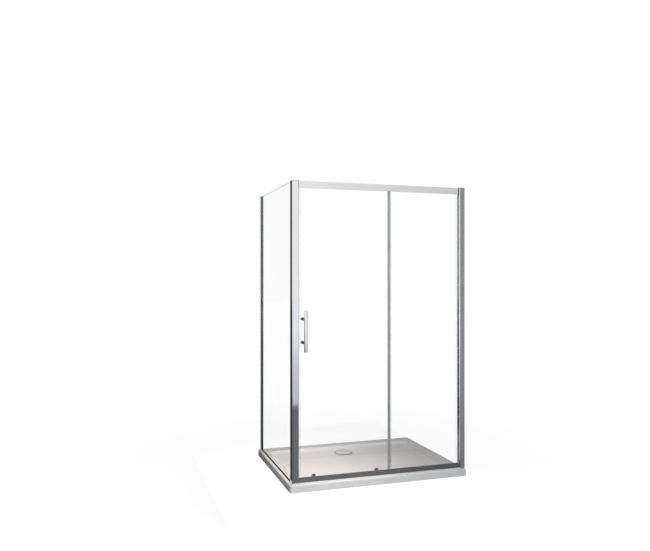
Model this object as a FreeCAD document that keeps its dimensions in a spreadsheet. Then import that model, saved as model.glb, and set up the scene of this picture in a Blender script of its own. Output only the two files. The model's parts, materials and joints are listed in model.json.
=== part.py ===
"""Shower enclosure with a sliding door: front of 1200 mm, side panel of 900 mm, on a shower tray.

X runs along the front to the right, Y runs back into the shower and Z up. The origin is the
centre of the tray's underside. All sizes are in millimetres and live in the sheet "Sizes".
"""

import FreeCAD, Part
import math
import os
import Sketcher

from types import SimpleNamespace
from FreeCAD import Rotation, Vector

# ------------------------------------------------------------------------------------------------
# Driving dimensions
# ------------------------------------------------------------------------------------------------

SIZES = (
    # shower tray and waste
    ("tray_length", 1200, "tray along the front"),
    ("tray_width", 900, "tray from front to back"),
    ("tray_height", 45, "tray thickness at the rim"),
    ("tray_corner_radius", 12, "upright corners of the tray"),
    ("tray_edge_radius", 5, "outer top edge of the rim"),
    ("rim_front", 80, "flat rim at the front and back"),
    ("rim_side", 52, "flat rim at the left and right"),
    ("basin_corner_radius", 70, "corners of the basin in plan"),
    ("basin_slope_run", 26, "width of the cove between rim and floor"),
    ("floor_edge_height", 28, "floor at the foot of the cove"),
    ("floor_waste_height", 22, "floor at the edge of the waste recess"),
    ("waste_offset_left", 6, "waste to the left of the tray's middle"),
    ("waste_from_back", 195, "waste from the back edge"),
    ("waste_recess_radius", 66, "round recess under the waste cover"),
    ("waste_recess_depth", 5, "depth of that recess"),
    ("waste_hole_radius", 45, "hole through the tray"),
    ("flange_radius", 60, "waste flange"),
    ("flange_thickness", 3, "waste flange"),
    ("collar_wall", 2.5, "collar of the waste flange"),
    ("collar_clearance", 0.5, "collar in the tray's hole"),
    ("socket_depth", 9, "socket for the waste pipe in the collar"),
    ("socket_step", 2, "shoulder that stops the pipe"),
    ("collar_floor_gap", 2, "collar above the floor"),
    ("cover_radius", 62, "waste cover"),
    ("cover_thickness", 2, "waste cover"),
    ("cover_crown", 2.5, "rise of the cover's middle"),
    ("cover_gap", 4, "water gap between flange and cover"),
    ("cover_fin_depth", 8, "how far the cover's fins reach into the collar"),
    ("cover_fin_start", 24, "inner ends of the fins from the middle"),
    ("cover_fin_thickness", 1.8, "fins of the cover"),
    ("cover_skirt", 2, "skirt round the cover"),
    ("cover_skirt_wall", 1.5, "skirt round the cover"),
    ("cover_clearance", 0.5, "fins in the collar"),
    ("seat_clearance", 0.1, "loose cover above the flange"),
    ("finger_hole_radius", 4, "two finger holes in the cover"),
    ("finger_hole_spacing", 24, "between the finger holes"),
    # frame
    ("frame_height", 1850, "frame above the tray"),
    ("frame_inset", 25, "frame behind the tray's front edge"),
    ("profile_wall", 1.6, "wall of the aluminium profiles"),
    ("joint_gap", 0.2, "between rail ends and uprights"),
    ("post_inset", 19, "corner post from the tray's left edge"),
    ("post_width", 43, "corner post along the front"),
    ("post_depth", 46, "corner post from front to back"),
    ("post_front_depth", 20, "front chamber of post and upright"),
    ("post_rear_width", 22, "rear chamber of the post"),
    ("post_corner_radius", 4, "rounded front edges of the post"),
    ("post_lip", 1.5, "post wall outside the side glass"),
    ("slot_depth", 20, "how deep the side glass sits"),
    ("post_cap_thickness", 2.5, "cap on the post"),
    ("cap_thickness", 1.5, "caps on the wall profiles"),
    ("spigot_clearance", 0.2, "cap spigots in their chambers"),
    ("spigot_depth", 8, "cap spigots"),
    ("rail_depth", 44, "both rails from front to back"),
    ("top_rail_height", 44, "top rail"),
    ("bottom_rail_height", 39, "bottom rail"),
    ("rail_edge_radius", 3, "front edges of the rails"),
    ("joint_cover_width", 7.5, "cover between the top rail and the upright"),
    ("joint_cover_depth", 3.2, "upper part of that cover"),
    ("joint_cover_gap", 0.3, "cover above the corner buffer"),
    ("port_height", 7.4, "screw port block in the rails"),
    ("port_inset", 4.9, "first screw port behind the rail's front wall"),
    ("port_spacing", 6.1, "between the two screw ports"),
    ("glass_thickness", 6, "all panes"),
    ("glass_arris", 0.6, "ground edges of the panes"),
    ("glass_end_gap", 1.5, "panes short of the floor of their slots"),
    ("gasket_recess", 1, "gaskets below the lips of their profiles"),
    ("fixed_glass_setback", 8, "fixed glass behind the frame's front"),
    ("pocket_rear_gap", 2, "behind the fixed glass in the rail pocket"),
    ("panel_gap", 10, "between fixed glass and door glass"),
    ("glass_entry", 30, "how far panes reach into the top rail"),
    ("setting_block", 3, "packer under the fixed glass"),
    ("setting_block_length", 50, "packer under the fixed glass"),
    ("setting_block_inset", 85, "packers from the ends of the fixed glass"),
    ("setting_block_clearance", 0.4, "packers in the pocket"),
    ("midrib_height", 34, "rib behind the pocket of the bottom rail"),
    ("track_lip_height", 8.4, "underside of the roller track above the rail's lower edge"),
    ("bead_width", 1.6, "bead that the wheels run on"),
    ("bead_height", 1.4, "bead above the roller track"),
    ("guide_bead_height", 13, "bead rib of the bottom rail"),
    ("drain_wall_height", 12, "rear wall of the bottom rail"),
    ("infill_drop", 2, "sill infill below the rail's front edge"),
    ("infill_fall", 1.5, "slope of the infill towards the shower"),
    ("infill_wall", 1.5, "sill infill"),
    # right-hand side
    ("upright_reveal", 40.5, "upright and wall profile together"),
    ("upright_width", 32, "upright"),
    ("upright_corner_radius", 4, "front edge of the upright"),
    ("upright_slot_depth", 14, "slot for the fixed glass"),
    ("upright_rear_width", 13, "rear chamber of the upright"),
    ("upright_gasket", 1, "gasket each side of the fixed glass in the upright"),
    ("wall_profile_width", 30.2, "flanges of the right wall profile"),
    ("wall_profile_wall", 1.8, "its wall"),
    ("slide_clearance", 0.15, "between nested profiles"),
    ("wall_hole_radius", 3, "wall screw holes"),
    ("wall_hole_spacing", 560, "between the wall screw holes"),
    ("wall_hole_count", 4, "wall screw holes"),
    ("screw_spacing", 670, "between the adjustment screws"),
    ("side_screw_inset", 8, "adjustment screws from the glazing profile's rear edge"),
    # side panel
    ("side_gasket", 1.2, "gasket each side of the side glass in the post"),
    ("side_profile_width", 13, "side wall profile, outside"),
    ("side_profile_depth", 32, "side wall profile off the wall"),
    ("side_profile_wall", 1.5, "side wall profile"),
    ("glazing_profile_depth", 36, "glazing profile"),
    ("glazing_profile_reach", 42, "its front edge off the wall"),
    ("glazing_pocket", 16, "pocket for the side glass"),
    ("side_seal_height", 5, "seal under the side glass"),
    ("side_seal_wall", 1.2, "legs of that seal"),
    ("cap_overhang", 2, "side cap in front of its profiles"),
    ("cap_edge_radius", 0.8, "upper edges of the side cap"),
    ("side_glass_raise", 2, "side glass above the tray"),
    ("side_glass_drop", 2, "side glass below the frame's top"),
    # front panes
    ("fixed_glass_left", 56, "free edge of the fixed glass, right of the middle"),
    ("stile_width", 16, "stile on the free edge"),
    ("stile_wall", 1.5, "stile"),
    ("stile_clearance", 0.1, "stile on the glass"),
    ("seal_height_gap", 2, "seals below and above the rails' edges"),
    ("overlap_seal_width", 13, "foot of the overlap seal"),
    ("overlap_seal_inset", 1, "foot from the stile's edge"),
    ("fin_root", 5, "fin of the overlap seal from the stile's edge"),
    ("fin_gap", 0.4, "that fin before the door glass"),
    ("fin_bow", 2, "how far seal fins bow"),
    ("fin_thickness", 0.9, "seal fins"),
    ("door_overlap", 23, "door glass behind the fixed glass when shut"),
    ("door_edge_entry", 3, "door glass into the post's recess"),
    ("door_bottom", 11, "door glass above the tray"),
    ("seal_wall", 1.2, "clear seals"),
    ("seal_leg", 20, "clear seal on the closing edge"),
    ("trailing_leg", 15, "clear seal on the trailing edge"),
    ("trailing_gap", 1.5, "its fin behind the fixed glass"),
    ("magnet_depth", 8, "magnet head of the door seal"),
    ("magnet_width", 10, "magnet head and post strip"),
    ("magnet_gap", 0.3, "between the two magnets when shut"),
    ("magnet_bevel", 1.5, "outer edges of the magnet strips"),
    ("door_end_gap", 10.5, "door glass before the upright when open"),
    # handle
    ("handle_from_edge", 39, "handle from the door's closing edge"),
    ("handle_middle_height", 976, "middle of the handle above the floor"),
    ("handle_length", 254, "handle bar"),
    ("handle_radius", 11, "handle bar"),
    ("handle_edge_radius", 1.2, "ends of the bar"),
    ("handle_spacing", 145, "between the standoffs"),
    ("handle_reach", 50, "bar axis in front of the door glass"),
    ("standoff_radius", 7, "standoffs"),
    ("rose_radius", 10, "foot of a standoff"),
    ("rose_thickness", 5, "foot of a standoff"),
    ("bolt_cover", 4, "solid ends over the handle bolts"),
    ("bolt_end_gap", 0.2, "beyond the handle bolts"),
    ("handle_washer", 0.8, "clear washers"),
    ("handle_hole_radius", 6, "holes in the glass"),
    ("handle_bolt_radius", 3, "handle bolts"),
    ("bolt_clearance", 0.1, "bolts in their bores"),
    ("knob_radius", 10, "inner knobs"),
    ("knob_length", 25, "inner knobs"),
    ("knob_waist", 7.5, "narrow neck of the inner knobs"),
    ("knob_head", 9, "wide end of the inner knobs"),
    ("knob_edge", 2, "bevel of the pull knobs"),
    # top rollers
    ("roller_inset_left", 108, "left hanger and guide from the closing edge"),
    ("roller_inset_right", 92, "right hanger and guide from the trailing edge"),
    ("hanger_gap", 0.3, "between glass and hanger plate"),
    ("hanger_thickness", 3, "hanger plate"),
    ("hanger_length", 66, "hanger plate"),
    ("hanger_height", 26, "hanger plate"),
    ("hanger_corner_radius", 5, "hanger plate"),
    ("axle_spacing", 40, "between the two wheels of a hanger"),
    ("axle_radius", 2.5, "hanger axles"),
    ("wheel_gap", 1, "between hanger plate and wheel"),
    ("wheel_width", 6, "top wheels"),
    ("wheel_radius", 12, "top wheels"),
    ("groove_depth", 1.5, "groove of the top wheels"),
    ("groove_side_clearance", 0.4, "groove beside its bead"),
    ("bead_clearance", 0.15, "wheel above its bead"),
    ("bearing_radius", 6.5, "ball bearings"),
    ("bearing_width", 5, "ball bearings"),
    ("bearing_fit", 0.03, "bearings on axles and in wheels"),
    ("axle_head_radius", 4, "riveted heads of the axles"),
    ("axle_head_thickness", 1, "riveted heads of the axles"),
    ("axle_head_gap", 0.3, "beside wheels on their axles"),
    ("hanger_bolt_radius", 4, "bolts through the door glass"),
    ("hanger_bolt_head_radius", 7, "bolts through the door glass"),
    ("bolt_head_thickness", 3, "bolts through the door glass"),
    ("hanger_bolt_drop", 2, "hanger bolts below the axles"),
    ("track_margin", 2.7, "track in front of the wheel's middle"),
    ("stop_length", 16, "rubber stops in the track"),
    ("stop_gap", 0.3, "between wheel and rubber stop"),
    ("stop_height", 22, "rubber stops in the track"),
    # bottom guides
    ("guide_half_width", 11.5, "guide housing"),
    ("guide_wall", 1.5, "guide housing"),
    ("guide_depth", 13, "guide housing"),
    ("guide_low", 17, "underside of the housing above the tray"),
    ("guide_top", 40.5, "top of the housing above the tray"),
    ("guide_window", 31, "top of the open back above the tray"),
    ("guide_roof", 2, "roof of the housing"),
    ("ear_drop", 2, "ears below the housing"),
    ("ear_reach", 12.5, "screw ears of the housing"),
    ("ear_thickness", 3, "screw ears of the housing"),
    ("ear_height", 14, "screw ears of the housing"),
    ("guide_bolt_radius", 3, "bolts of the housing"),
    ("guide_bolt_head_radius", 6.5, "bolts of the housing"),
    ("guide_wheel_radius", 8, "bottom wheels"),
    ("guide_wheel_width", 5, "bottom wheels"),
    ("guide_groove_depth", 2, "groove of the bottom wheels"),
    ("guide_axle_radius", 2, "axle of the bottom wheels"),
    ("running_fit", 0.05, "bottom wheels on their axles"),
    ("plunger_plate", 2.4, "plunger plate"),
    ("plunger_clearance", 0.3, "plunger in its housing"),
    ("plunger_half_width", 7, "plunger plate"),
    ("stem_radius", 2, "plunger stem"),
    ("stem_from_plate", 3.5, "stem behind the plate's front"),
    ("shelf_half_width", 3.5, "spring seat of the plunger"),
    ("shelf_thickness", 1.5, "spring seat of the plunger"),
    ("shelf_gap", 1, "spring seat above the wheel"),
    ("stem_clearance", 0.2, "plunger stem in the roof"),
    ("pin_head", 1.5, "head of the plunger's axle beyond its pin"),
    ("pull_knob_radius", 5, "pull knob"),
    ("pull_knob_height", 2.6, "pull knob"),
    ("spring_radius", 2.9, "spring, to the middle of its wire"),
    ("spring_wire_radius", 0.35, "spring wire"),
    ("spring_turns", 3, "turns of the spring"),
    ("spring_clearance", 0.05, "spring from its seats"),
    # small parts
    ("screw_radius", 1.9, "self-tapping screws"),
    ("screw_hole_radius", 2.1, "holes for them"),
    ("screw_length", 18, "frame screws in their ports"),
    ("screw_head_radius", 2.9, "heads"),
    ("screw_head_height", 2.2, "heads"),
    ("adjust_screw_length", 7, "adjustment screws"),
    ("cover_cap_radius", 6, "covers over the adjustment screws"),
    ("cover_cap_height", 4.5, "covers over the adjustment screws"),
    ("cover_cap_wall", 1, "covers over the adjustment screws"),
    ("buffer_radius", 3.7, "corner buffer"),
    ("buffer_length", 5, "corner buffer"),
)

doc = FreeCAD.newDocument("shower_enclosure")
sheet = doc.addObject("Spreadsheet::Sheet", "Sizes")
for row, (alias, value, meaning) in enumerate(SIZES, start=1):
    sheet.set(f"A{row}", alias)
    sheet.set(f"B{row}", str(value))
    sheet.set(f"C{row}", meaning)
    sheet.setAlias(f"B{row}", alias)
doc.recompute()


class Dim:
    """A length that carries its number and the sheet expression that it comes from."""

    def __init__(self, value, text):
        self.value = float(value)
        self.text = text

    def joined(self, other, sign, value, swapped=False):
        left, right = (text_of(other), self.text) if swapped else (self.text, text_of(other))
        return Dim(value, f"({left} {sign} {right})")

    def __add__(self, other):
        return self.joined(other, "+", self.value + number_of(other))

    def __radd__(self, other):
        return self.joined(other, "+", number_of(other) + self.value, swapped=True)

    def __sub__(self, other):
        return self.joined(other, "-", self.value - number_of(other))

    def __rsub__(self, other):
        return self.joined(other, "-", number_of(other) - self.value, swapped=True)

    def __mul__(self, other):
        return self.joined(other, "*", self.value * number_of(other))

    def __rmul__(self, other):
        return self.joined(other, "*", number_of(other) * self.value, swapped=True)

    def __truediv__(self, other):
        return self.joined(other, "/", self.value / number_of(other))

    def __neg__(self):
        return Dim(-self.value, f"(0 - {self.text})")


def number_of(size):
    return size.value if isinstance(size, Dim) else float(size)


def text_of(size):
    return size.text if isinstance(size, Dim) else f"{float(size):g}"


s = SimpleNamespace(**{alias: Dim(sheet.get(alias), f"Sizes.{alias}") for alias, _, _ in SIZES})

# ------------------------------------------------------------------------------------------------
# Ways of making a piece
# ------------------------------------------------------------------------------------------------

PLANES = {"XY": "XY_Plane", "XZ": "XZ_Plane", "YZ": "YZ_Plane"}
NORMAL = {"XY": "z", "YZ": "x"}
DIRECTIONS = {
    "+X": Vector(1, 0, 0),
    "-X": Vector(-1, 0, 0),
    "+Y": Vector(0, 1, 0),
    "-Y": Vector(0, -1, 0),
    "+Z": Vector(0, 0, 1),
    "-Z": Vector(0, 0, -1),
}
COLLINEAR = 1e-3  # how near a point has to be to count as being on a line

pieces = {}  # node name -> document object


def named(name, thing):
    """Makes a document object the piece of that name."""
    thing.Label = name
    pieces[name] = thing
    return thing


def bind(thing, **sizes):
    """Ties properties of an object to the sheet."""
    for prop, size in sizes.items():
        setattr(thing, prop, number_of(size))
        if isinstance(size, Dim):
            thing.setExpression(prop, size.text)


def place(thing, x=0, y=0, z=0):
    """Ties an object's place to the sheet."""
    thing.Placement.Base = Vector(number_of(x), number_of(y), number_of(z))
    for axis, size in (("x", x), ("y", y), ("z", z)):
        if isinstance(size, Dim):
            thing.setExpression(f"Placement.Base.{axis}", size.text)


def draw(body, name, plane, outlines, circles=()):
    """Sketches closed outlines and circles whose every point is tied to the sheet."""
    sketch = body.newObject("Sketcher::SketchObject", name)
    support = [o for o in body.Origin.OriginFeatures if o.Role == PLANES[plane]][0]
    sketch.AttachmentSupport = (support, [""])
    sketch.MapMode = "FlatFace"
    constraints, ties = [], []

    def tie(kind, geometry, point, size):
        ties.append((len(constraints), size))
        constraints.append(Sketcher.Constraint(kind, -1, 1, geometry, point, number_of(size)))

    for outline in outlines:
        first = sketch.GeometryCount
        points = [Vector(number_of(a), number_of(b), 0) for a, b in outline]
        count = len(points)
        for i, start in enumerate(points):
            sketch.addGeometry(Part.LineSegment(start, points[(i + 1) % count]))
        for i, (a, b) in enumerate(outline):
            following = first + (i + 1) % count
            constraints.append(Sketcher.Constraint("Coincident", first + i, 2, following, 1))
            tie("DistanceX", first + i, 1, a)
            tie("DistanceY", first + i, 1, b)
    for a, b, radius in circles:
        centre = Vector(number_of(a), number_of(b), 0)
        geometry = sketch.addGeometry(Part.Circle(centre, Vector(0, 0, 1), number_of(radius)))
        tie("DistanceX", geometry, 3, a)
        tie("DistanceY", geometry, 3, b)
        ties.append((len(constraints), radius))
        constraints.append(Sketcher.Constraint("Radius", geometry, number_of(radius)))
    sketch.addConstraint(constraints)
    for index, size in ties:
        if isinstance(size, Dim):
            sketch.setExpression(f"Constraints[{index}]", size.text)
    return sketch


def extruded(name, plane, outlines, start, end, circles=()):
    """A body pushed out of a section: along Z from the XY plane, along X from the YZ plane."""
    body = doc.addObject("PartDesign::Body", name)
    pad = body.newObject("PartDesign::Pad", f"{name}_pad")
    pad.Profile = draw(body, f"{name}_section", plane, outlines, circles)
    bind(pad, Length=end - start)
    place(body, **{NORMAL[plane]: start})
    return body


def turned(name, outline, direction, x, y, z):
    """A body turned about its own axis: the outline gives radius and distance along the axis."""
    body = doc.addObject("PartDesign::Body", name)
    sketch = draw(body, f"{name}_half_section", "XZ", [outline])
    turn = body.newObject("PartDesign::Revolution", f"{name}_turn")
    turn.Profile = sketch
    turn.ReferenceAxis = (sketch, ["V_Axis"])
    turn.Angle = 360
    body.Placement.Rotation = Rotation(Vector(0, 0, 1), DIRECTIONS[direction])
    place(body, x, y, z)
    return body


def edges_through(feature, fixed):
    """Names the straight edges all of whose points have the given coordinates."""
    found = []
    for number, edge in enumerate(feature.Shape.Edges, start=1):
        ends = [v.Point for v in edge.Vertexes]
        if all(abs(getattr(p, axis) - number_of(at)) < COLLINEAR for p in ends for axis, at in fixed.items()):
            found.append(f"Edge{number}")
    return found


def rounded(body, radius, places):
    """Rounds the straight edges at the given places of a body's last feature."""
    doc.recompute()
    base = body.Tip
    names = [name for fixed in places for name in edges_through(base, fixed)]
    fillet = body.newObject("PartDesign::Fillet", f"{body.Name}_rounding")
    fillet.Base = (base, names)
    bind(fillet, Radius=radius)
    return body


def box(name, x, y, z):
    """A block between pairs of coordinates."""
    block = doc.addObject("Part::Box", name)
    bind(block, Length=x[1] - x[0], Width=y[1] - y[0], Height=z[1] - z[0])
    place(block, x[0], y[0], z[0])
    return block


def rod(name, radius, direction, start, length):
    """A cylinder from a point in a direction."""
    cylinder = doc.addObject("Part::Cylinder", name)
    bind(cylinder, Radius=radius, Height=length)
    cylinder.Placement.Rotation = Rotation(Vector(0, 0, 1), DIRECTIONS[direction])
    place(cylinder, *start)
    return cylinder


def cut(name, base, tools):
    """The base less its tools."""
    result = doc.addObject("Part::Cut", name)
    result.Base = base
    result.Tool = tools[0] if len(tools) == 1 else joined(f"{name}_tools", tools)
    return result


def joined(name, shapes):
    """Several shapes as one solid."""
    result = doc.addObject("Part::MultiFuse", name)
    result.Shapes = shapes
    result.Refine = True
    return result


def group(name, shapes):
    """Like pieces that share one name and stay separate solids."""
    result = doc.addObject("Part::Compound", name)
    result.Links = shapes
    return result


def pane(name, x, y, z, holes=()):
    """A glass pane with ground edges and drilled holes."""
    blank = box(f"{name}_blank", x, y, z)
    doc.recompute()
    ground = doc.addObject("Part::Chamfer", f"{name}_ground")
    ground.Base = blank
    arris = number_of(s.glass_arris)
    ground.Edges = [(n, arris, arris) for n in range(1, len(blank.Shape.Edges) + 1)]
    return cut(name, ground, list(holes)) if holes else ground


def screw(name, direction, x, y, z, length):
    """A pan-head screw: its head's underside is at the given point, its shank goes on from there."""
    outline = [
        (0, -s.screw_head_height),
        (s.screw_head_radius, -s.screw_head_height),
        (s.screw_head_radius, 0),
        (s.screw_radius, 0),
        (s.screw_radius, length),
        (0, length),
    ]
    return turned(name, outline, direction, x, y, z)


# ------------------------------------------------------------------------------------------------
# Planes and lines that several pieces share
# ------------------------------------------------------------------------------------------------

half_length = s.tray_length / 2
half_width = s.tray_width / 2
frame_front = -half_width + s.frame_inset
frame_low = s.tray_height
frame_high = s.tray_height + s.frame_height
wall = s.profile_wall

post_left = -half_length + s.post_inset
post_right = post_left + s.post_width
upright_left = half_length - s.upright_reveal
rail_start = post_right + s.joint_gap
rail_end = upright_left - s.joint_gap
rail_rear = frame_front + s.rail_depth
top_rail_low = frame_high - s.top_rail_height
bottom_rail_high = frame_low + s.bottom_rail_height

fixed_front = frame_front + s.fixed_glass_setback
fixed_rear = fixed_front + s.glass_thickness
pocket_rear = fixed_rear + s.pocket_rear_gap
midrib_rear = pocket_rear + wall
door_front = fixed_rear + s.panel_gap
door_rear = door_front + s.glass_thickness
door_left = post_right - s.door_edge_entry
door_right = s.fixed_glass_left + s.door_overlap
door_travel = upright_left - door_right - s.door_end_gap
door_low = frame_low + s.door_bottom
glass_high = top_rail_low + s.glass_entry

plate_front = door_rear + s.hanger_gap
plate_rear = plate_front + s.hanger_thickness
wheel_front = plate_rear + s.wheel_gap
wheel_plane = wheel_front + s.wheel_width / 2
track_front = wheel_plane - s.track_margin
track_top = top_rail_low + s.track_lip_height + wall
groove_radius = s.wheel_radius - s.groove_depth
axle_height = track_top + s.bead_height + s.bead_clearance + groove_radius
guide_groove_radius = s.guide_wheel_radius - s.guide_groove_depth
guide_axle_height = frame_low + s.guide_bead_height + s.bead_clearance + guide_groove_radius
hanger_middles = (door_left + s.roller_inset_left, door_right - s.roller_inset_right)
side_middle = post_left + s.post_lip + s.side_gasket + s.glass_thickness / 2
side_left = side_middle - s.glass_thickness / 2
side_right = side_middle + s.glass_thickness / 2
side_glazing_front = half_width - s.glazing_profile_reach
fixed_low = frame_low + wall + s.port_height + s.setting_block
stile_left = s.fixed_glass_left - s.stile_clearance - s.stile_wall
waste_x = -s.waste_offset_left
waste_y = half_width - s.waste_from_back
seal_low = bottom_rail_high + s.seal_height_gap
seal_high = top_rail_low - s.seal_height_gap
port_front = frame_front + wall + s.port_inset
port_rear = port_front + s.port_spacing
middle_height = s.tray_height + s.frame_height / 2

# ------------------------------------------------------------------------------------------------
# Shower tray and waste
# ------------------------------------------------------------------------------------------------

COVE_STEPS = 4
BASIN_TOP = 6  # how far the cutting shape stands above the rim


def rounded_rectangle(x0, x1, y0, y1, radius, z):
    """A closed wire of four lines and four corner arcs, starting after the lower left corner."""
    diagonal = radius * (1 - math.sqrt(0.5))
    corners = ((x1, y0, -1, 1), (x1, y1, -1, -1), (x0, y1, 1, -1), (x0, y0, 1, 1))
    edges = []
    last = Vector(x0 + radius, y0, z)
    for index, (cx, cy, sx, sy) in enumerate(corners):
        along_x, along_y = Vector(cx + sx * radius, cy, z), Vector(cx, cy + sy * radius, z)
        enter, leave = (along_x, along_y) if index % 2 == 0 else (along_y, along_x)
        middle = Vector(cx + sx * diagonal, cy + sy * diagonal, z)
        edges.append(Part.LineSegment(last, enter).toShape())
        edges.append(Part.Arc(enter, middle, leave).toShape())
        last = leave
    return Part.Wire(edges)


def eight_arc_circle(cx, cy, radius, z):
    """A circle in eight arcs that match the edges of rounded_rectangle."""
    def at(degrees):
        turn = math.radians(degrees)
        return Vector(cx + radius * math.cos(turn), cy + radius * math.sin(turn), z)

    wide, narrow = 66, 24  # the arcs facing the long straight sides and the corners
    edges, start = [], 270 - wide / 2
    for _ in range(4):
        for sweep in (wide, narrow):
            edges.append(Part.Arc(at(start), at(start + sweep / 2), at(start + sweep)).toShape())
            start += sweep
    return Part.Wire(edges)


def basin_cutter():
    """The hollow of the tray: a cove round the rim and a floor that falls to the waste."""
    x_rim, y_rim = (half_length - s.rim_side).value, (half_width - s.rim_front).value
    rim, foot = s.tray_height.value, s.floor_edge_height.value
    run, radius = s.basin_slope_run.value, s.basin_corner_radius.value

    def ring(inset, z):
        x, y = x_rim - inset, y_rim - inset
        return rounded_rectangle(-x, x, -y, y, radius - inset, z)

    sections = [ring(0, rim + BASIN_TOP)]
    for step in range(COVE_STEPS + 1):
        share = step / COVE_STEPS
        fall = (1 - math.cos(math.pi * share)) / 2
        sections.append(ring(run * share, rim - (rim - foot) * fall))
    floor = s.floor_waste_height.value
    sections.append(eight_arc_circle(waste_x.value, waste_y.value, s.waste_recess_radius.value, floor))
    cutter = doc.addObject("Part::Feature", "basin_cutter")
    cutter.Shape = Part.makeLoft(sections, True, True)
    return cutter


def make_tray():
    corners = [(-half_length, -half_width), (half_length, -half_width)]
    corners += [(half_length, half_width), (-half_length, half_width)]
    block = extruded("tray_block", "XY", [corners], 0, s.tray_height)
    rounded(block, s.tray_corner_radius, [{"x": x, "y": y} for x, y in corners])
    doc.recompute()
    top = block.Tip
    rim_edges = [
        f"Edge{number}"
        for number, edge in enumerate(top.Shape.Edges, start=1)
        if all(abs(v.Point.z - s.tray_height.value) < COLLINEAR for v in edge.Vertexes)
    ]
    rim = block.newObject("PartDesign::Fillet", "tray_rim_rounding")
    rim.Base = (top, rim_edges)
    bind(rim, Radius=s.tray_edge_radius)
    recess_floor = s.floor_waste_height - s.waste_recess_depth
    recess = rod("waste_recess", s.waste_recess_radius, "+Z", (waste_x, waste_y, recess_floor),
                 s.tray_height - recess_floor)
    hole = rod("waste_hole", s.waste_hole_radius, "+Z", (waste_x, waste_y, 0), s.tray_height)
    named("shower_tray", cut("shower_tray", block, [basin_cutter(), recess, hole]))


def make_waste():
    seat = s.floor_waste_height - s.waste_recess_depth
    collar_outer = s.waste_hole_radius - s.collar_clearance
    collar_inner = collar_outer - s.collar_wall
    flange_top = seat + s.flange_thickness
    throat = collar_inner - s.socket_step
    socket_top = s.collar_floor_gap + s.socket_depth
    named("waste_flange", turned("waste_flange", [
        (collar_inner, s.collar_floor_gap),
        (collar_outer, s.collar_floor_gap),
        (collar_outer, seat),
        (s.flange_radius, seat),
        (s.flange_radius, flange_top),
        (throat, flange_top),
        (throat, socket_top),
        (collar_inner, socket_top),
    ], "+Z", waste_x, waste_y, 0))

    low = flange_top + s.cover_gap
    high = low + s.cover_thickness
    skirt = s.cover_radius - s.cover_skirt_wall
    dome = turned("cover_dome", [
        (0, low + s.cover_crown),
        (skirt, low),
        (skirt, low - s.cover_skirt),
        (s.cover_radius, low - s.cover_skirt),
        (s.cover_radius, high - s.cover_skirt_wall),
        (0, high + s.cover_crown),
    ], "+Z", waste_x, waste_y, 0)
    finger_holes = [
        rod(f"finger_hole_{n}", s.finger_hole_radius, "+Z",
            (waste_x + side * s.finger_hole_spacing, waste_y, low), s.cover_thickness + s.cover_crown + 1)
        for n, side in enumerate((-0.5, 0.5))
    ]
    plate = cut("cover_plate", dome, finger_holes)
    bend = throat - s.cover_clearance
    half = s.cover_fin_thickness / 2
    top = high - s.cover_thickness * 0.3
    fins = []
    for n, (start, end, foot) in enumerate((
        (s.cover_fin_start, bend, flange_top - s.cover_fin_depth),
        (bend - half, skirt, flange_top + s.seat_clearance),
    )):
        for side, (near, far) in (("right", (start, end)), ("left", (-end, -start))):
            fins.append(box(f"cover_fin_{side}_{n}", (waste_x + near, waste_x + far),
                            (waste_y - half, waste_y + half), (foot, top)))
            fins.append(box(f"cover_fin_{side}_{n}_across", (waste_x - half, waste_x + half),
                            (waste_y + near, waste_y + far), (foot, top)))
    named("waste_cover", joined("waste_cover", [plate] + fins))


# ------------------------------------------------------------------------------------------------
# Corner post
# ------------------------------------------------------------------------------------------------

def port_holes(name, x0, length, heights):
    """Drillings on the lines of the rails' screw ports."""
    return [
        rod(f"{name}_{i}{j}", s.screw_hole_radius, "+X", (x0, y, z), length)
        for i, y in enumerate((port_front, port_rear))
        for j, z in enumerate(heights)
    ]


port_heights = (
    frame_low + wall + s.port_height / 2,
    frame_high - wall - s.port_height / 2,
)


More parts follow.
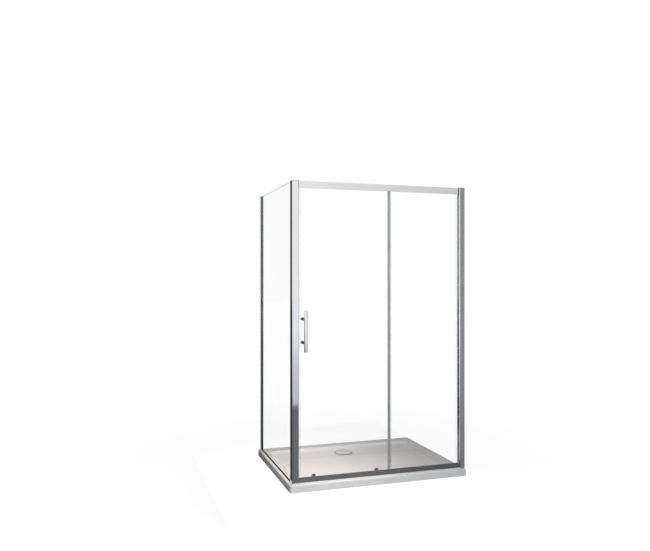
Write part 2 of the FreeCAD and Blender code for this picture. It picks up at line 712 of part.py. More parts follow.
def make_corner_post():
    front = frame_front
    slot_left = post_left + s.post_lip
    slot_right = side_right + s.side_gasket
    rear = front + s.post_depth
    chamber_rear = front + s.post_front_depth
    inner_right = post_left + s.post_rear_width
    slot_front = rear - s.slot_depth
    outline = [
        (post_left, front),
        (post_right, front),
        (post_right, chamber_rear),
        (inner_right, chamber_rear),
        (inner_right, rear),
        (slot_right, rear),
        (slot_right, slot_front),
        (slot_left, slot_front),
        (slot_left, rear),
        (post_left, rear),
    ]
    front_chamber = [
        (post_left + wall, front + wall),
        (post_right - wall, front + wall),
        (post_right - wall, chamber_rear - wall),
        (post_left + wall, chamber_rear - wall),
    ]
    rear_chamber = [
        (post_left + wall, chamber_rear),
        (inner_right - wall, chamber_rear),
        (inner_right - wall, rear - wall),
        (slot_right + wall, rear - wall),
        (slot_right + wall, slot_front - wall),
        (post_left + wall, slot_front - wall),
    ]
    post = extruded("corner_post_profile", "XY", [outline, front_chamber, rear_chamber], frame_low, frame_high)
    rounded(post, s.post_corner_radius, [{"x": post_left, "y": front}, {"x": post_right, "y": front}])
    holes = port_holes("post_port", post_right - wall * 2, wall * 3, port_heights)
    named("corner_post", cut("corner_post", post, holes))

    cap_outline = outline[:5] + outline[9:]
    plate = extruded("post_cap_plate", "XY", [cap_outline], frame_high, frame_high + s.post_cap_thickness)
    rounded(plate, s.post_corner_radius, [{"x": post_left, "y": front}, {"x": post_right, "y": front}])
    gap = wall + s.spigot_clearance
    heads = post_right - gap - s.screw_head_height - s.spigot_clearance
    spigot = box("post_cap_spigot", (post_left + gap, heads),
                 (front + gap, chamber_rear - gap), (frame_high - s.spigot_depth, frame_high))
    named("corner_post_cap", joined("corner_post_cap", [plate, spigot]))

    magnet_front = (door_front + door_rear) / 2 - s.magnet_width / 2
    strip_right = door_left - s.seal_wall - s.magnet_depth - s.magnet_gap
    strip = [
        (inner_right, magnet_front),
        (strip_right - s.magnet_bevel, magnet_front),
        (strip_right, magnet_front + s.magnet_bevel),
        (strip_right, magnet_front + s.magnet_width - s.magnet_bevel),
        (strip_right - s.magnet_bevel, magnet_front + s.magnet_width),
        (inner_right, magnet_front + s.magnet_width),
    ]
    skin = s.seal_wall
    core = [
        (inner_right + skin, magnet_front + skin),
        (strip_right - skin, magnet_front + skin),
        (strip_right - skin, magnet_front + s.magnet_width - skin),
        (inner_right + skin, magnet_front + s.magnet_width - skin),
    ]
    low, high = door_low, frame_high - s.seal_height_gap
    named("post_magnet_strip", extruded("post_magnet_strip", "XY", [strip, core], low, high))
    named("post_magnet_core", extruded("post_magnet_core", "XY", [core], low, high))


# ------------------------------------------------------------------------------------------------
# Rails
# ------------------------------------------------------------------------------------------------

def make_top_rail():
    front, low, high = frame_front, top_rail_low, frame_high
    roof = high - wall
    port_low = roof - s.port_height
    inner_rear = rail_rear - wall
    bead = (wheel_plane - s.bead_width / 2, wheel_plane + s.bead_width / 2)
    lip_low = track_top - wall
    outline = [
        (front, low),
        (front + wall, low),
        (front + wall, port_low),
        (pocket_rear, port_low),
        (pocket_rear, low + s.track_lip_height),
        (midrib_rear, low + s.track_lip_height),
        (midrib_rear, roof),
        (inner_rear, roof),
        (inner_rear, track_top),
        (bead[1], track_top),
        (bead[1], track_top + s.bead_height),
        (bead[0], track_top + s.bead_height),
        (bead[0], track_top),
        (track_front, track_top),
        (track_front, lip_low),
        (rail_rear, lip_low),
        (rail_rear, high),
        (front, high),
    ]
    ports = [(y, port_heights[1], s.screw_hole_radius) for y in (port_front, port_rear)]
    rail = extruded("top_rail", "YZ", [outline], rail_start, rail_end, circles=ports)
    rounded(rail, s.rail_edge_radius, [{"y": front, "z": high}])
    start, deep = rail_end - s.joint_cover_width, front + s.joint_cover_depth
    beyond = rail_end + s.joint_cover_width
    notch = box("cover_notch", (start, beyond), (front - wall, front + wall), (low - wall, high + wall))
    upper_notch = box("cover_notch_upper", (start, beyond), (front - wall, deep), (port_low, high + wall))
    named("top_rail", cut("top_rail", rail, [notch, upper_notch]))

    foot = low + s.buffer_radius + s.joint_cover_gap
    section = [(front, foot), (front + wall, foot), (front + wall, port_low), (deep, port_low), (deep, high), (front, high)]
    cover = extruded("rail_joint_cover", "YZ", [section], start, rail_end)
    rounded(cover, s.rail_edge_radius, [{"y": front, "z": high}])
    named("rail_joint_cover", cover)


def make_bottom_rail():
    front, low, high = frame_front, frame_low, bottom_rail_high
    web = low + wall
    port_high = web + s.port_height
    bead = (wheel_plane - s.bead_width / 2, wheel_plane + s.bead_width / 2)
    inner_rear = rail_rear - wall
    outline = [
        (front, low),
        (rail_rear, low),
        (rail_rear, low + s.drain_wall_height),
        (inner_rear, low + s.drain_wall_height),
        (inner_rear, web),
        (bead[1], web),
        (bead[1], low + s.guide_bead_height),
        (bead[0], low + s.guide_bead_height),
        (bead[0], web),
        (midrib_rear, web),
        (midrib_rear, low + s.midrib_height),
        (pocket_rear, low + s.midrib_height),
        (pocket_rear, port_high),
        (front + wall, port_high),
        (front + wall, high),
        (front, high),
    ]
    ports = [(y, port_heights[0], s.screw_hole_radius) for y in (port_front, port_rear)]
    named("bottom_rail", extruded("bottom_rail", "YZ", [outline], rail_start, rail_end, circles=ports))

    left, right = front + wall + s.spigot_clearance, pocket_rear - s.spigot_clearance
    foot, top = port_high, high - s.infill_drop
    skin = s.infill_wall
    infill = [
        (left, foot),
        (left + skin, foot),
        (left + skin, top - skin),
        (right - skin, top - skin - s.infill_fall),
        (right - skin, foot),
        (right, foot),
        (right, top - s.infill_fall),
        (left, top),
    ]
    named("sill_infill", extruded("sill_infill", "YZ", [infill], rail_start, stile_left - s.joint_gap))


def make_frame_screws():
    """Screws through the uprights into the rails' ports, with their heads in the chambers."""
    left_seat = post_right - wall
    right_seat = upright_left + s.upright_slot_depth + wall
    screws = []
    for i, y in enumerate((port_front, port_rear)):
        for j, z in enumerate(port_heights):
            screws.append(screw(f"left_screw_{i}{j}", "+X", left_seat, y, z, s.screw_length))
            long = s.screw_length + s.upright_slot_depth
            screws.append(screw(f"right_screw_{i}{j}", "-X", right_seat, y, z, long))
    named("frame_screws", group("frame_screws", screws))


def make_track_stops():
    """Rubber blocks in the roller track that the outer wheels meet at each end of the travel."""
    reach = s.axle_spacing / 2 + s.wheel_radius + s.stop_gap
    left = hanger_middles[0] - reach
    right = hanger_middles[1] + door_travel + reach
    front, rear = track_front + s.spigot_clearance, rail_rear - wall
    stops = []
    for n, start in enumerate((left - s.stop_length, right)):
        block = box(f"stop_block_{n}", (start, start + s.stop_length), (front, rear),
                    (track_top, track_top + s.stop_height))
        half = s.bead_width / 2 + s.stile_clearance
        groove = box(f"stop_groove_{n}", (start - 1, start + s.stop_length + 1),
                     (wheel_plane - half, wheel_plane + half), (track_top - 1, track_top + s.bead_height + s.stile_clearance))
        stops.append(cut(f"track_stop_{n}", block, [groove]))
    named("track_end_stops", group("track_end_stops", stops))


# ------------------------------------------------------------------------------------------------
# Right-hand upright and wall profile
# ------------------------------------------------------------------------------------------------

def make_right_side():
    left = upright_left
    right = left + s.upright_width
    inset = s.wall_profile_wall + s.slide_clearance
    front, rear = frame_front + inset, rail_rear - inset
    chamber_rear = frame_front + s.post_front_depth
    rear_left = right - s.upright_rear_width
    slot_front, slot_rear = fixed_front - s.upright_gasket, fixed_rear + s.upright_gasket
    slot_end = left + s.upright_slot_depth
    outline = [
        (left, front),
        (right, front),
        (right, rear),
        (rear_left, rear),
        (rear_left, chamber_rear),
        (left, chamber_rear),
        (left, slot_rear),
        (slot_end, slot_rear),
        (slot_end, slot_front),
        (left, slot_front),
    ]
    chamber = [
        (slot_end + wall, front + wall),
        (right - wall, front + wall),
        (right - wall, rear - wall),
        (rear_left + wall, rear - wall),
        (rear_left + wall, chamber_rear - wall),
        (slot_end + wall, chamber_rear - wall),
    ]
    upright = extruded("upright_profile", "XY", [outline, chamber], frame_low, frame_high)
    rounded(upright, s.upright_corner_radius, [{"x": left, "y": front}])
    holes = port_holes("upright_port", left - 1, s.upright_slot_depth + wall * 2, port_heights)
    adjust_x = rear_left + s.upright_rear_width / 2
    heights = [middle_height + step * s.screw_spacing for step in (-1, 0, 1)]
    holes += [
        rod(f"upright_screw_hole_{n}", s.screw_hole_radius, "+Y", (adjust_x, rear - wall * 2, z), wall * 3)
        for n, z in enumerate(heights)
    ]
    named("fixed_upright", cut("fixed_upright", upright, holes))

    channel_left = half_length - s.wall_profile_width
    skin = s.wall_profile_wall
    channel = [
        (channel_left, frame_front),
        (half_length, frame_front),
        (half_length, rail_rear),
        (channel_left, rail_rear),
        (channel_left, rail_rear - skin),
        (half_length - skin, rail_rear - skin),
        (half_length - skin, frame_front + skin),
        (channel_left, frame_front + skin),
    ]
    profile = extruded("wall_channel_right", "XY", [channel], frame_low, frame_high)
    rounded(profile, skin * 0.6, [{"x": channel_left, "y": frame_front}])
    wall_y = (frame_front + rail_rear) / 2
    wall_holes = [
        rod(f"right_wall_hole_{n}", s.wall_hole_radius, "+X", (half_length - skin * 2, wall_y, z), skin * 3)
        for n, z in enumerate(wall_hole_heights())
    ]
    wall_holes += [
        rod(f"flange_hole_{n}", s.screw_hole_radius, "+Y", (adjust_x, rail_rear - skin * 1.5, z), skin * 2)
        for n, z in enumerate(heights)
    ]
    named("wall_profile_right", cut("wall_profile_right", profile, wall_holes))

    cap = [
        (left, frame_front),
        (half_length, frame_front),
        (half_length, rail_rear),
        (rear_left, rail_rear),
        (rear_left, chamber_rear),
        (left, chamber_rear),
    ]
    plate = extruded("right_cap_plate", "XY", [cap], frame_high, frame_high + s.cap_thickness)
    rounded(plate, s.upright_corner_radius, [{"x": left, "y": frame_front}])
    gap = wall + s.spigot_clearance
    heads = slot_end + gap + s.screw_head_height + s.spigot_clearance
    spigot = box("right_cap_spigot", (heads, right - gap),
                 (front + gap, chamber_rear - gap), (frame_high - s.spigot_depth, frame_high))
    named("right_cap", joined("right_cap", [plate, spigot]))

    buffer_middle = fixed_front - s.buffer_radius - s.joint_gap
    named("corner_buffer", rod("corner_buffer", s.buffer_radius, "-X", (left, buffer_middle, top_rail_low),
                               s.buffer_length))
    return adjust_x, heights


def wall_hole_heights():
    count = int(s.wall_hole_count.value)
    return [middle_height + (n - (count - 1) / 2) * s.wall_hole_spacing for n in range(count)]


# ------------------------------------------------------------------------------------------------
# Side panel
# ------------------------------------------------------------------------------------------------

def make_side_panel():
    skin = s.side_profile_wall
    half = s.side_profile_width / 2
    left, right = side_middle - half, side_middle + half
    channel_front = half_width - s.side_profile_depth
    channel = [
        (left, channel_front),
        (left + skin, channel_front),
        (left + skin, half_width - skin),
        (right - skin, half_width - skin),
        (right - skin, channel_front),
        (right, channel_front),
        (right, half_width),
        (left, half_width),
    ]
    profile = extruded("wall_channel_side", "XY", [channel], frame_low, frame_high)
    wall_holes = [
        rod(f"side_wall_hole_{n}", s.wall_hole_radius, "+Y", (side_middle, half_width - skin * 2, z), skin * 3)
        for n, z in enumerate(wall_hole_heights())
    ]
    screw_y = side_glazing_front + s.glazing_profile_depth - s.side_screw_inset
    heights = [middle_height + step * s.screw_spacing for step in (-1, 0, 1)]
    reach = s.adjust_screw_length
    screw_holes = [
        rod(f"side_screw_hole_{n}", s.screw_hole_radius, "-X", (right + 1, screw_y, z), reach)
        for n, z in enumerate(heights)
    ]
    named("wall_profile_side", cut("wall_profile_side", profile, wall_holes + screw_holes))

    inner = half - skin - s.slide_clearance
    g_left, g_right = side_middle - inner, side_middle + inner
    g_front, g_rear = side_glazing_front, side_glazing_front + s.glazing_profile_depth
    web_front = g_front + s.glazing_pocket
    section = [
        (g_left, g_front),
        (g_left + skin, g_front),
        (g_left + skin, web_front),
        (g_right - skin, web_front),
        (g_right - skin, g_front),
        (g_right, g_front),
        (g_right, g_rear),
        (g_right - skin, g_rear),
        (g_right - skin, web_front + skin),
        (g_left + skin, web_front + skin),
        (g_left + skin, g_rear),
        (g_left, g_rear),
    ]
    glazing = extruded("glazing_section", "XY", [section], frame_low, frame_high)
    glazing_holes = [
        rod(f"glazing_hole_{n}", s.screw_hole_radius, "-X", (right + 1, screw_y, z), reach)
        for n, z in enumerate(heights)
    ]
    named("side_glazing_profile", cut("side_glazing_profile", glazing, glazing_holes))

    plate = box("side_cap_plate", (left, right), (g_front - s.cap_overhang, half_width),
                (frame_high, frame_high + s.cap_thickness))
    doc.recompute()
    cap = doc.addObject("Part::Fillet", "side_cap")
    cap.Base = plate
    radius = s.cap_edge_radius.value
    upper = [
        (n, radius, radius)
        for n, edge in enumerate(plate.Shape.Edges, start=1)
        if all(abs(v.Point.z - (frame_high + s.cap_thickness).value) < COLLINEAR for v in edge.Vertexes)
    ]
    cap.Edges = upper
    named("side_cap", cap)

    post_rear = frame_front + s.post_depth
    glass_front = post_rear - s.slot_depth + s.glass_end_gap
    glass_rear = web_front - s.glass_end_gap
    glass_low, glass_top = frame_low + s.side_glass_raise, frame_high - s.side_glass_drop
    named("side_glass", pane("side_glass", (side_left, side_right), (glass_front, glass_rear),
                             (glass_low, glass_top)))

    leg, ends = s.side_seal_wall, (post_rear + s.joint_gap, g_front - s.joint_gap)
    seal = box("side_sole", (side_left - leg, side_right + leg), ends, (frame_low, frame_low + s.side_seal_height))
    room = box("side_sole_room", (side_left, side_right), (post_rear, g_front),
               (glass_low, frame_low + s.side_seal_height + 1))
    named("side_bottom_seal", cut("side_bottom_seal", seal, [room]))
    return right, screw_y, (post_rear, glass_front, glass_low, glass_top, g_left + skin, g_right - skin)


# ------------------------------------------------------------------------------------------------
# Fixed front glass
# ------------------------------------------------------------------------------------------------

def make_fixed_panel():
    glass_right = upright_left + s.upright_slot_depth - s.glass_end_gap
    named("fixed_glass", pane("fixed_glass", (s.fixed_glass_left, glass_right), (fixed_front, fixed_rear),
                              (fixed_low, glass_high)))

    skin, free = s.stile_wall, s.stile_clearance
    outer = stile_left
    front, rear = fixed_front - free - skin, fixed_rear + free + skin
    stile_end = outer + s.stile_width
    section = [
        (outer, front),
        (stile_end, front),
        (stile_end, front + skin),
        (outer + skin, front + skin),
        (outer + skin, rear - skin),
        (stile_end, rear - skin),
        (stile_end, rear),
        (outer, rear),
    ]
    stile = extruded("fixed_glass_stile", "XY", [section], fixed_low, glass_high)
    rounded(stile, skin * 0.6, [{"x": outer, "y": front}, {"x": stile_end, "y": front}])
    named("fixed_glass_stile", stile)

    tip = door_front - s.fin_gap
    foot = rear + s.seal_wall
    bow = (foot + tip) / 2
    fin = s.fin_thickness
    root = outer + s.fin_root
    start = outer + s.overlap_seal_inset
    seal = [
        (start, rear),
        (start + s.overlap_seal_width, rear),
        (start + s.overlap_seal_width, foot),
        (root + fin, foot),
        (root + fin - s.fin_bow, bow),
        (root + fin + s.fin_bow / 2, tip),
        (root + s.fin_bow / 2, tip),
        (root - s.fin_bow, bow),
        (root, foot),
        (start, foot),
    ]
    named("overlap_seal", extruded("overlap_seal", "XY", [seal], seal_low, seal_high))

    block_x = (s.fixed_glass_left + s.setting_block_inset, glass_right - s.setting_block_inset)
    half, free = s.setting_block_length / 2, s.setting_block_clearance
    blocks = [
        box(f"setting_block_{n}", (x - half, x + half), (frame_front + wall + free, pocket_rear - free),
            (fixed_low - s.setting_block, fixed_low))
        for n, x in enumerate(block_x)
    ]
    named("setting_blocks", group("setting_blocks", blocks))
    return stile_end


def make_gaskets(stile_end, side):
    """Rubber strips that hold the panes in their profiles."""
    strips = []
    start, end = stile_end + s.joint_gap, rail_end - s.joint_cover_width
    sunk = s.gasket_recess
    rail_bands = ((fixed_low, bottom_rail_high - sunk), (top_rail_low + sunk, glass_high))
    rear_bands = (
        (fixed_low, frame_low + s.midrib_height - sunk),
        (top_rail_low + s.track_lip_height + sunk, glass_high),
    )
    for n, band in enumerate(rail_bands):
        strips.append(box(f"front_gasket_{n}", (start, end), (frame_front + wall, fixed_front), band))
    for n, band in enumerate(rear_bands):
        strips.append(box(f"rear_gasket_{n}", (start, end), (fixed_rear, pocket_rear), band))
    deep = (upright_left + sunk, upright_left + s.upright_slot_depth - s.glass_end_gap)
    tall = (bottom_rail_high, top_rail_low)
    skin = s.upright_gasket
    strips.append(box("upright_gasket_front", deep, (fixed_front - skin, fixed_front), tall))
    strips.append(box("upright_gasket_rear", deep, (fixed_rear, fixed_rear + skin), tall))
    post_rear, glass_front, glass_low, glass_top, inner_left, inner_right = side
    y = (glass_front, post_rear - sunk)
    strips.append(box("post_gasket_left", (side_left - s.side_gasket, side_left), y, (glass_low, glass_top)))
    strips.append(box("post_gasket_right", (side_right, side_right + s.side_gasket), y, (glass_low, glass_top)))
    y = (side_glazing_front + sunk, side_glazing_front + s.glazing_pocket - s.glass_end_gap)
    strips.append(box("glazing_gasket_left", (inner_left, side_left), y, (glass_low, glass_top)))
    strips.append(box("glazing_gasket_right", (side_right, inner_right), y, (glass_low, glass_top)))
    named("glazing_gaskets", group("glazing_gaskets", strips))


def make_adjustment(adjust_x, heights, side_right_face, side_screw_y):
    """Screws that lock the nested profiles, and the caps that cover them."""
    screws, caps = [], []
    inner, outer = s.cover_cap_radius - s.cover_cap_wall, s.cover_cap_radius
    tall, skin = s.cover_cap_height, s.cover_cap_wall
    dome = [
        (inner, 0),
        (outer, 0),
        (outer, tall),
        (0, tall),
        (0, tall - skin),
        (inner, tall - skin),
    ]
    for n, z in enumerate(heights):
        screws.append(screw(f"right_adjust_{n}", "-Y", adjust_x, rail_rear, z, s.adjust_screw_length))
        caps.append(turned(f"right_cover_{n}", dome, "+Y", adjust_x, rail_rear, z))
        screws.append(screw(f"side_adjust_{n}", "-X", side_right_face, side_screw_y, z, s.adjust_screw_length))
        caps.append(turned(f"side_cover_{n}", dome, "+X", side_right_face, side_screw_y, z))
    named("adjustment_screws", group("adjustment_screws", screws))
    named("screw_cover_caps", group("screw_cover_caps", caps))


# ------------------------------------------------------------------------------------------------
# Sliding door
# ------------------------------------------------------------------------------------------------

handle_x = door_left + s.handle_from_edge
handle_heights = (
    s.handle_middle_height - s.handle_spacing / 2,
    s.handle_middle_height + s.handle_spacing / 2,
)
bar_axis = door_front - s.handle_reach
hanger_bolt_height = axle_height - s.hanger_bolt_drop
ear_middle = s.guide_half_width + s.ear_reach / 2
guide_bolt_height = frame_low + s.guide_low + s.ear_height / 2 - 2


def make_door_glass():
    through = s.glass_thickness + 2
    holes = [
        rod(f"handle_hole_{n}", s.handle_hole_radius, "+Y", (handle_x, door_front - 1, z), through)
        for n, z in enumerate(handle_heights)
    ]
    for n, middle in enumerate(hanger_middles):
        holes.append(rod(f"hanger_hole_{n}", s.hanger_bolt_radius + 1, "+Y",
                         (middle, door_front - 1, hanger_bolt_height), through))
        for m, side in enumerate((-1, 1)):
            holes.append(rod(f"guide_hole_{n}{m}", s.guide_bolt_radius + 1, "+Y",
                             (middle + side * ear_middle, door_front - 1, guide_bolt_height), through))
    named("door_glass", pane("door_glass", (door_left, door_right), (door_front, door_rear),
                             (door_low, glass_high), holes))


def make_door_seals():
    skin = s.seal_wall
    front, rear = door_front - skin, door_rear + skin
    middle = (door_front + door_rear) / 2
    head_front, head_rear = middle - s.magnet_width / 2, middle + s.magnet_width / 2
    web = door_left - skin
    tip = web - s.magnet_depth
    leg_end = door_left + s.seal_leg
    outline = [
        (tip + s.magnet_bevel, head_front),
        (web, head_front),
        (web, front),
        (leg_end, front),
        (leg_end, door_front),
        (door_left, door_front),
        (door_left, door_rear),
        (leg_end, door_rear),
        (leg_end, rear),
        (web, rear),
        (web, head_rear),
        (tip + s.magnet_bevel, head_rear),
        (tip, head_rear - s.magnet_bevel),
        (tip, head_front + s.magnet_bevel),
    ]
    core = [
        (tip + skin, head_front + skin),
        (web - skin, head_front + skin),
        (web - skin, head_rear - skin),
        (tip + skin, head_rear - skin),
    ]
    low, high = door_low, glass_high
    named("door_magnet_seal", extruded("door_magnet_seal", "XY", [outline, core], low, high))
    named("door_magnet_core", extruded("door_magnet_core", "XY", [core], low, high))

    start, end = door_right - s.trailing_leg, door_right + skin
    fin = s.fin_thickness
    fin_tip = fixed_rear + s.trailing_gap
    bow = (front + fin_tip) / 2
    trailing = [
        (start, front),
        (end - fin, front),
        (end - fin + s.fin_bow, bow),
        (end - fin, fin_tip),
        (end, fin_tip),
        (end + s.fin_bow, bow),
        (end, front),
        (end, rear),
        (start, rear),
        (start, door_rear),
        (door_right, door_rear),
        (door_right, door_front),
        (start, door_front),
    ]
    named("door_trailing_seal", extruded("door_trailing_seal", "XY", [trailing], seal_low, seal_high))


def make_handle():
    half = s.handle_length / 2
    edge = s.handle_edge_radius
    bar = [
        (0, -half),
        (s.handle_radius - edge, -half),
        (s.handle_radius, -half + edge),
        (s.handle_radius, half - edge),
        (s.handle_radius - edge, half),
        (0, half),
    ]
    named("handle_bar", turned("handle_bar", bar, "+Z", handle_x, bar_axis, s.handle_middle_height))

    standoffs, knobs, washers, bolts = [], [], [], []
    rose_rear = door_front - s.handle_washer
    length = rose_rear - bar_axis
    bore = s.handle_bolt_radius + s.bolt_clearance
    long, head = s.knob_length, s.knob_length - s.knob_head
    knob_front = door_rear + s.handle_washer
    bolt_start = s.handle_radius + s.bolt_cover
    for n, z in enumerate(handle_heights):
        foot = [
            (0, 0),
            (s.standoff_radius, 0),
            (s.standoff_radius, length - s.rose_thickness),
            (s.rose_radius, length - s.rose_thickness),
            (s.rose_radius, length),
            (bore, length),
            (bore, bolt_start),
            (0, bolt_start),
        ]
        blank = turned(f"standoff_blank_{n}", foot, "+Y", handle_x, bar_axis, z)
        saddle = rod(f"standoff_saddle_{n}", s.handle_radius, "+Z",
                     (handle_x, bar_axis, z - s.rose_radius * 2), s.rose_radius * 4)
        standoffs.append(cut(f"standoff_{n}", blank, [saddle]))
        knob = [
            (bore, 0),
            (s.knob_radius, 0),
            (s.knob_waist, head / 2),
            (s.knob_radius, head),
            (s.knob_radius, long),
            (0, long),
            (0, long - s.bolt_cover),
            (bore, long - s.bolt_cover),
        ]
        knobs.append(turned(f"knob_{n}", knob, "+Y", handle_x, knob_front, z))
        for m, start in enumerate((door_front - s.handle_washer, door_rear)):
            washers.append(turned(f"washer_{n}{m}", [
                (s.handle_hole_radius, 0),
                (s.rose_radius, 0),
                (s.rose_radius, s.handle_washer),
                (s.handle_hole_radius, s.handle_washer),
            ], "+Y", handle_x, start, z))
        bolt_front = bar_axis + bolt_start + s.bolt_end_gap
        bolt_rear = knob_front + long - s.bolt_cover - s.bolt_end_gap
        bolts.append(rod(f"handle_bolt_{n}", s.handle_bolt_radius, "+Y",
                         (handle_x, bolt_front, z), bolt_rear - bolt_front))
    named("handle_standoffs", group("handle_standoffs", standoffs))
    named("handle_inner_knobs", group("handle_inner_knobs", knobs))
    named("handle_washers", group("handle_washers", washers))
    named("handle_bolts", group("handle_bolts", bolts))


def wheel_section(bore, radius, width, depth):
    """Half section of a wheel with a groove for a bead, from its front face."""
    root = radius - depth
    half_groove = s.bead_width / 2 + s.groove_side_clearance
    middle = width / 2
    return [
        (bore, 0),
        (radius, 0),
        (radius, middle - half_groove),
        (root, middle - half_groove),
        (root, middle + half_groove),
        (radius, middle + half_groove),
        (radius, width),
        (bore, width),
    ]


def make_hangers():
    """Plates bolted behind the top of the door glass, each with two grooved wheels."""
    half = s.hanger_length / 2
    plate_high = hanger_bolt_height + s.hanger_height / 2
    plate_low = plate_high - s.hanger_height
    axles, bolts = [], []
    count = 0
    for side, middle in zip(("left", "right"), hanger_middles):
        blank = box(f"hanger_blank_{side}", (middle - half, middle + half), (plate_front, plate_rear),
                    (plate_low, plate_high))
        doc.recompute()
        plate = doc.addObject("Part::Fillet", f"hanger_plate_{side}")
        plate.Base = blank
        radius = s.hanger_corner_radius.value
        plate.Edges = [
            (n, radius, radius)
            for n, edge in enumerate(blank.Shape.Edges, start=1)
            if abs(edge.Length - s.hanger_thickness.value) < COLLINEAR
        ]
        drill = [rod(f"hanger_bore_{side}", s.hanger_bolt_radius + s.bolt_clearance, "+Y",
                     (middle, plate_front - 1, hanger_bolt_height), s.hanger_thickness + 2)]
        for step in (-0.5, 0.5):
            x = middle + step * s.axle_spacing
            count += 1
            drill.append(rod(f"axle_bore_{count}", s.axle_radius, "+Y",
                             (x, plate_front - 1, axle_height), s.hanger_thickness + 2))
            head = s.hanger_thickness + s.wheel_gap + s.wheel_width + s.axle_head_gap
            axles.append(turned(f"axle_{count}", [
                (0, 0),
                (s.axle_radius, 0),
                (s.axle_radius, head),
                (s.axle_head_radius, head),
                (s.axle_head_radius, head + s.axle_head_thickness),
                (0, head + s.axle_head_thickness),
            ], "+Y", x, plate_front, axle_height))
            bore = s.bearing_radius + s.bearing_fit
            tyre = wheel_section(bore, s.wheel_radius, s.wheel_width, s.groove_depth)
            named(f"top_wheel_{count}", turned(f"top_wheel_{count}", tyre, "+Y", x, wheel_front, axle_height))
            inner = s.axle_radius + s.bearing_fit
            edge = (s.wheel_width - s.bearing_width) / 2
            named(f"top_bearing_{count}", turned(f"top_bearing_{count}", [
                (inner, edge),
                (s.bearing_radius, edge),
                (s.bearing_radius, edge + s.bearing_width),
                (inner, edge + s.bearing_width),
            ], "+Y", x, wheel_front, axle_height))
        named(f"hanger_{side}", cut(f"hanger_{side}", plate, drill))
        head = s.bolt_head_thickness
        bolts.append(turned(f"hanger_bolt_{side}", [
            (0, -head),
            (s.hanger_bolt_head_radius, -head),
            (s.hanger_bolt_head_radius, 0),
            (s.hanger_bolt_radius, 0),
            (s.hanger_bolt_radius, plate_rear - door_front),
            (0, plate_rear - door_front),
        ], "+Y", middle, door_front, hanger_bolt_height))
    named("hanger_axles", group("hanger_axles", axles))
    named("hanger_bolts", group("hanger_bolts", bolts))


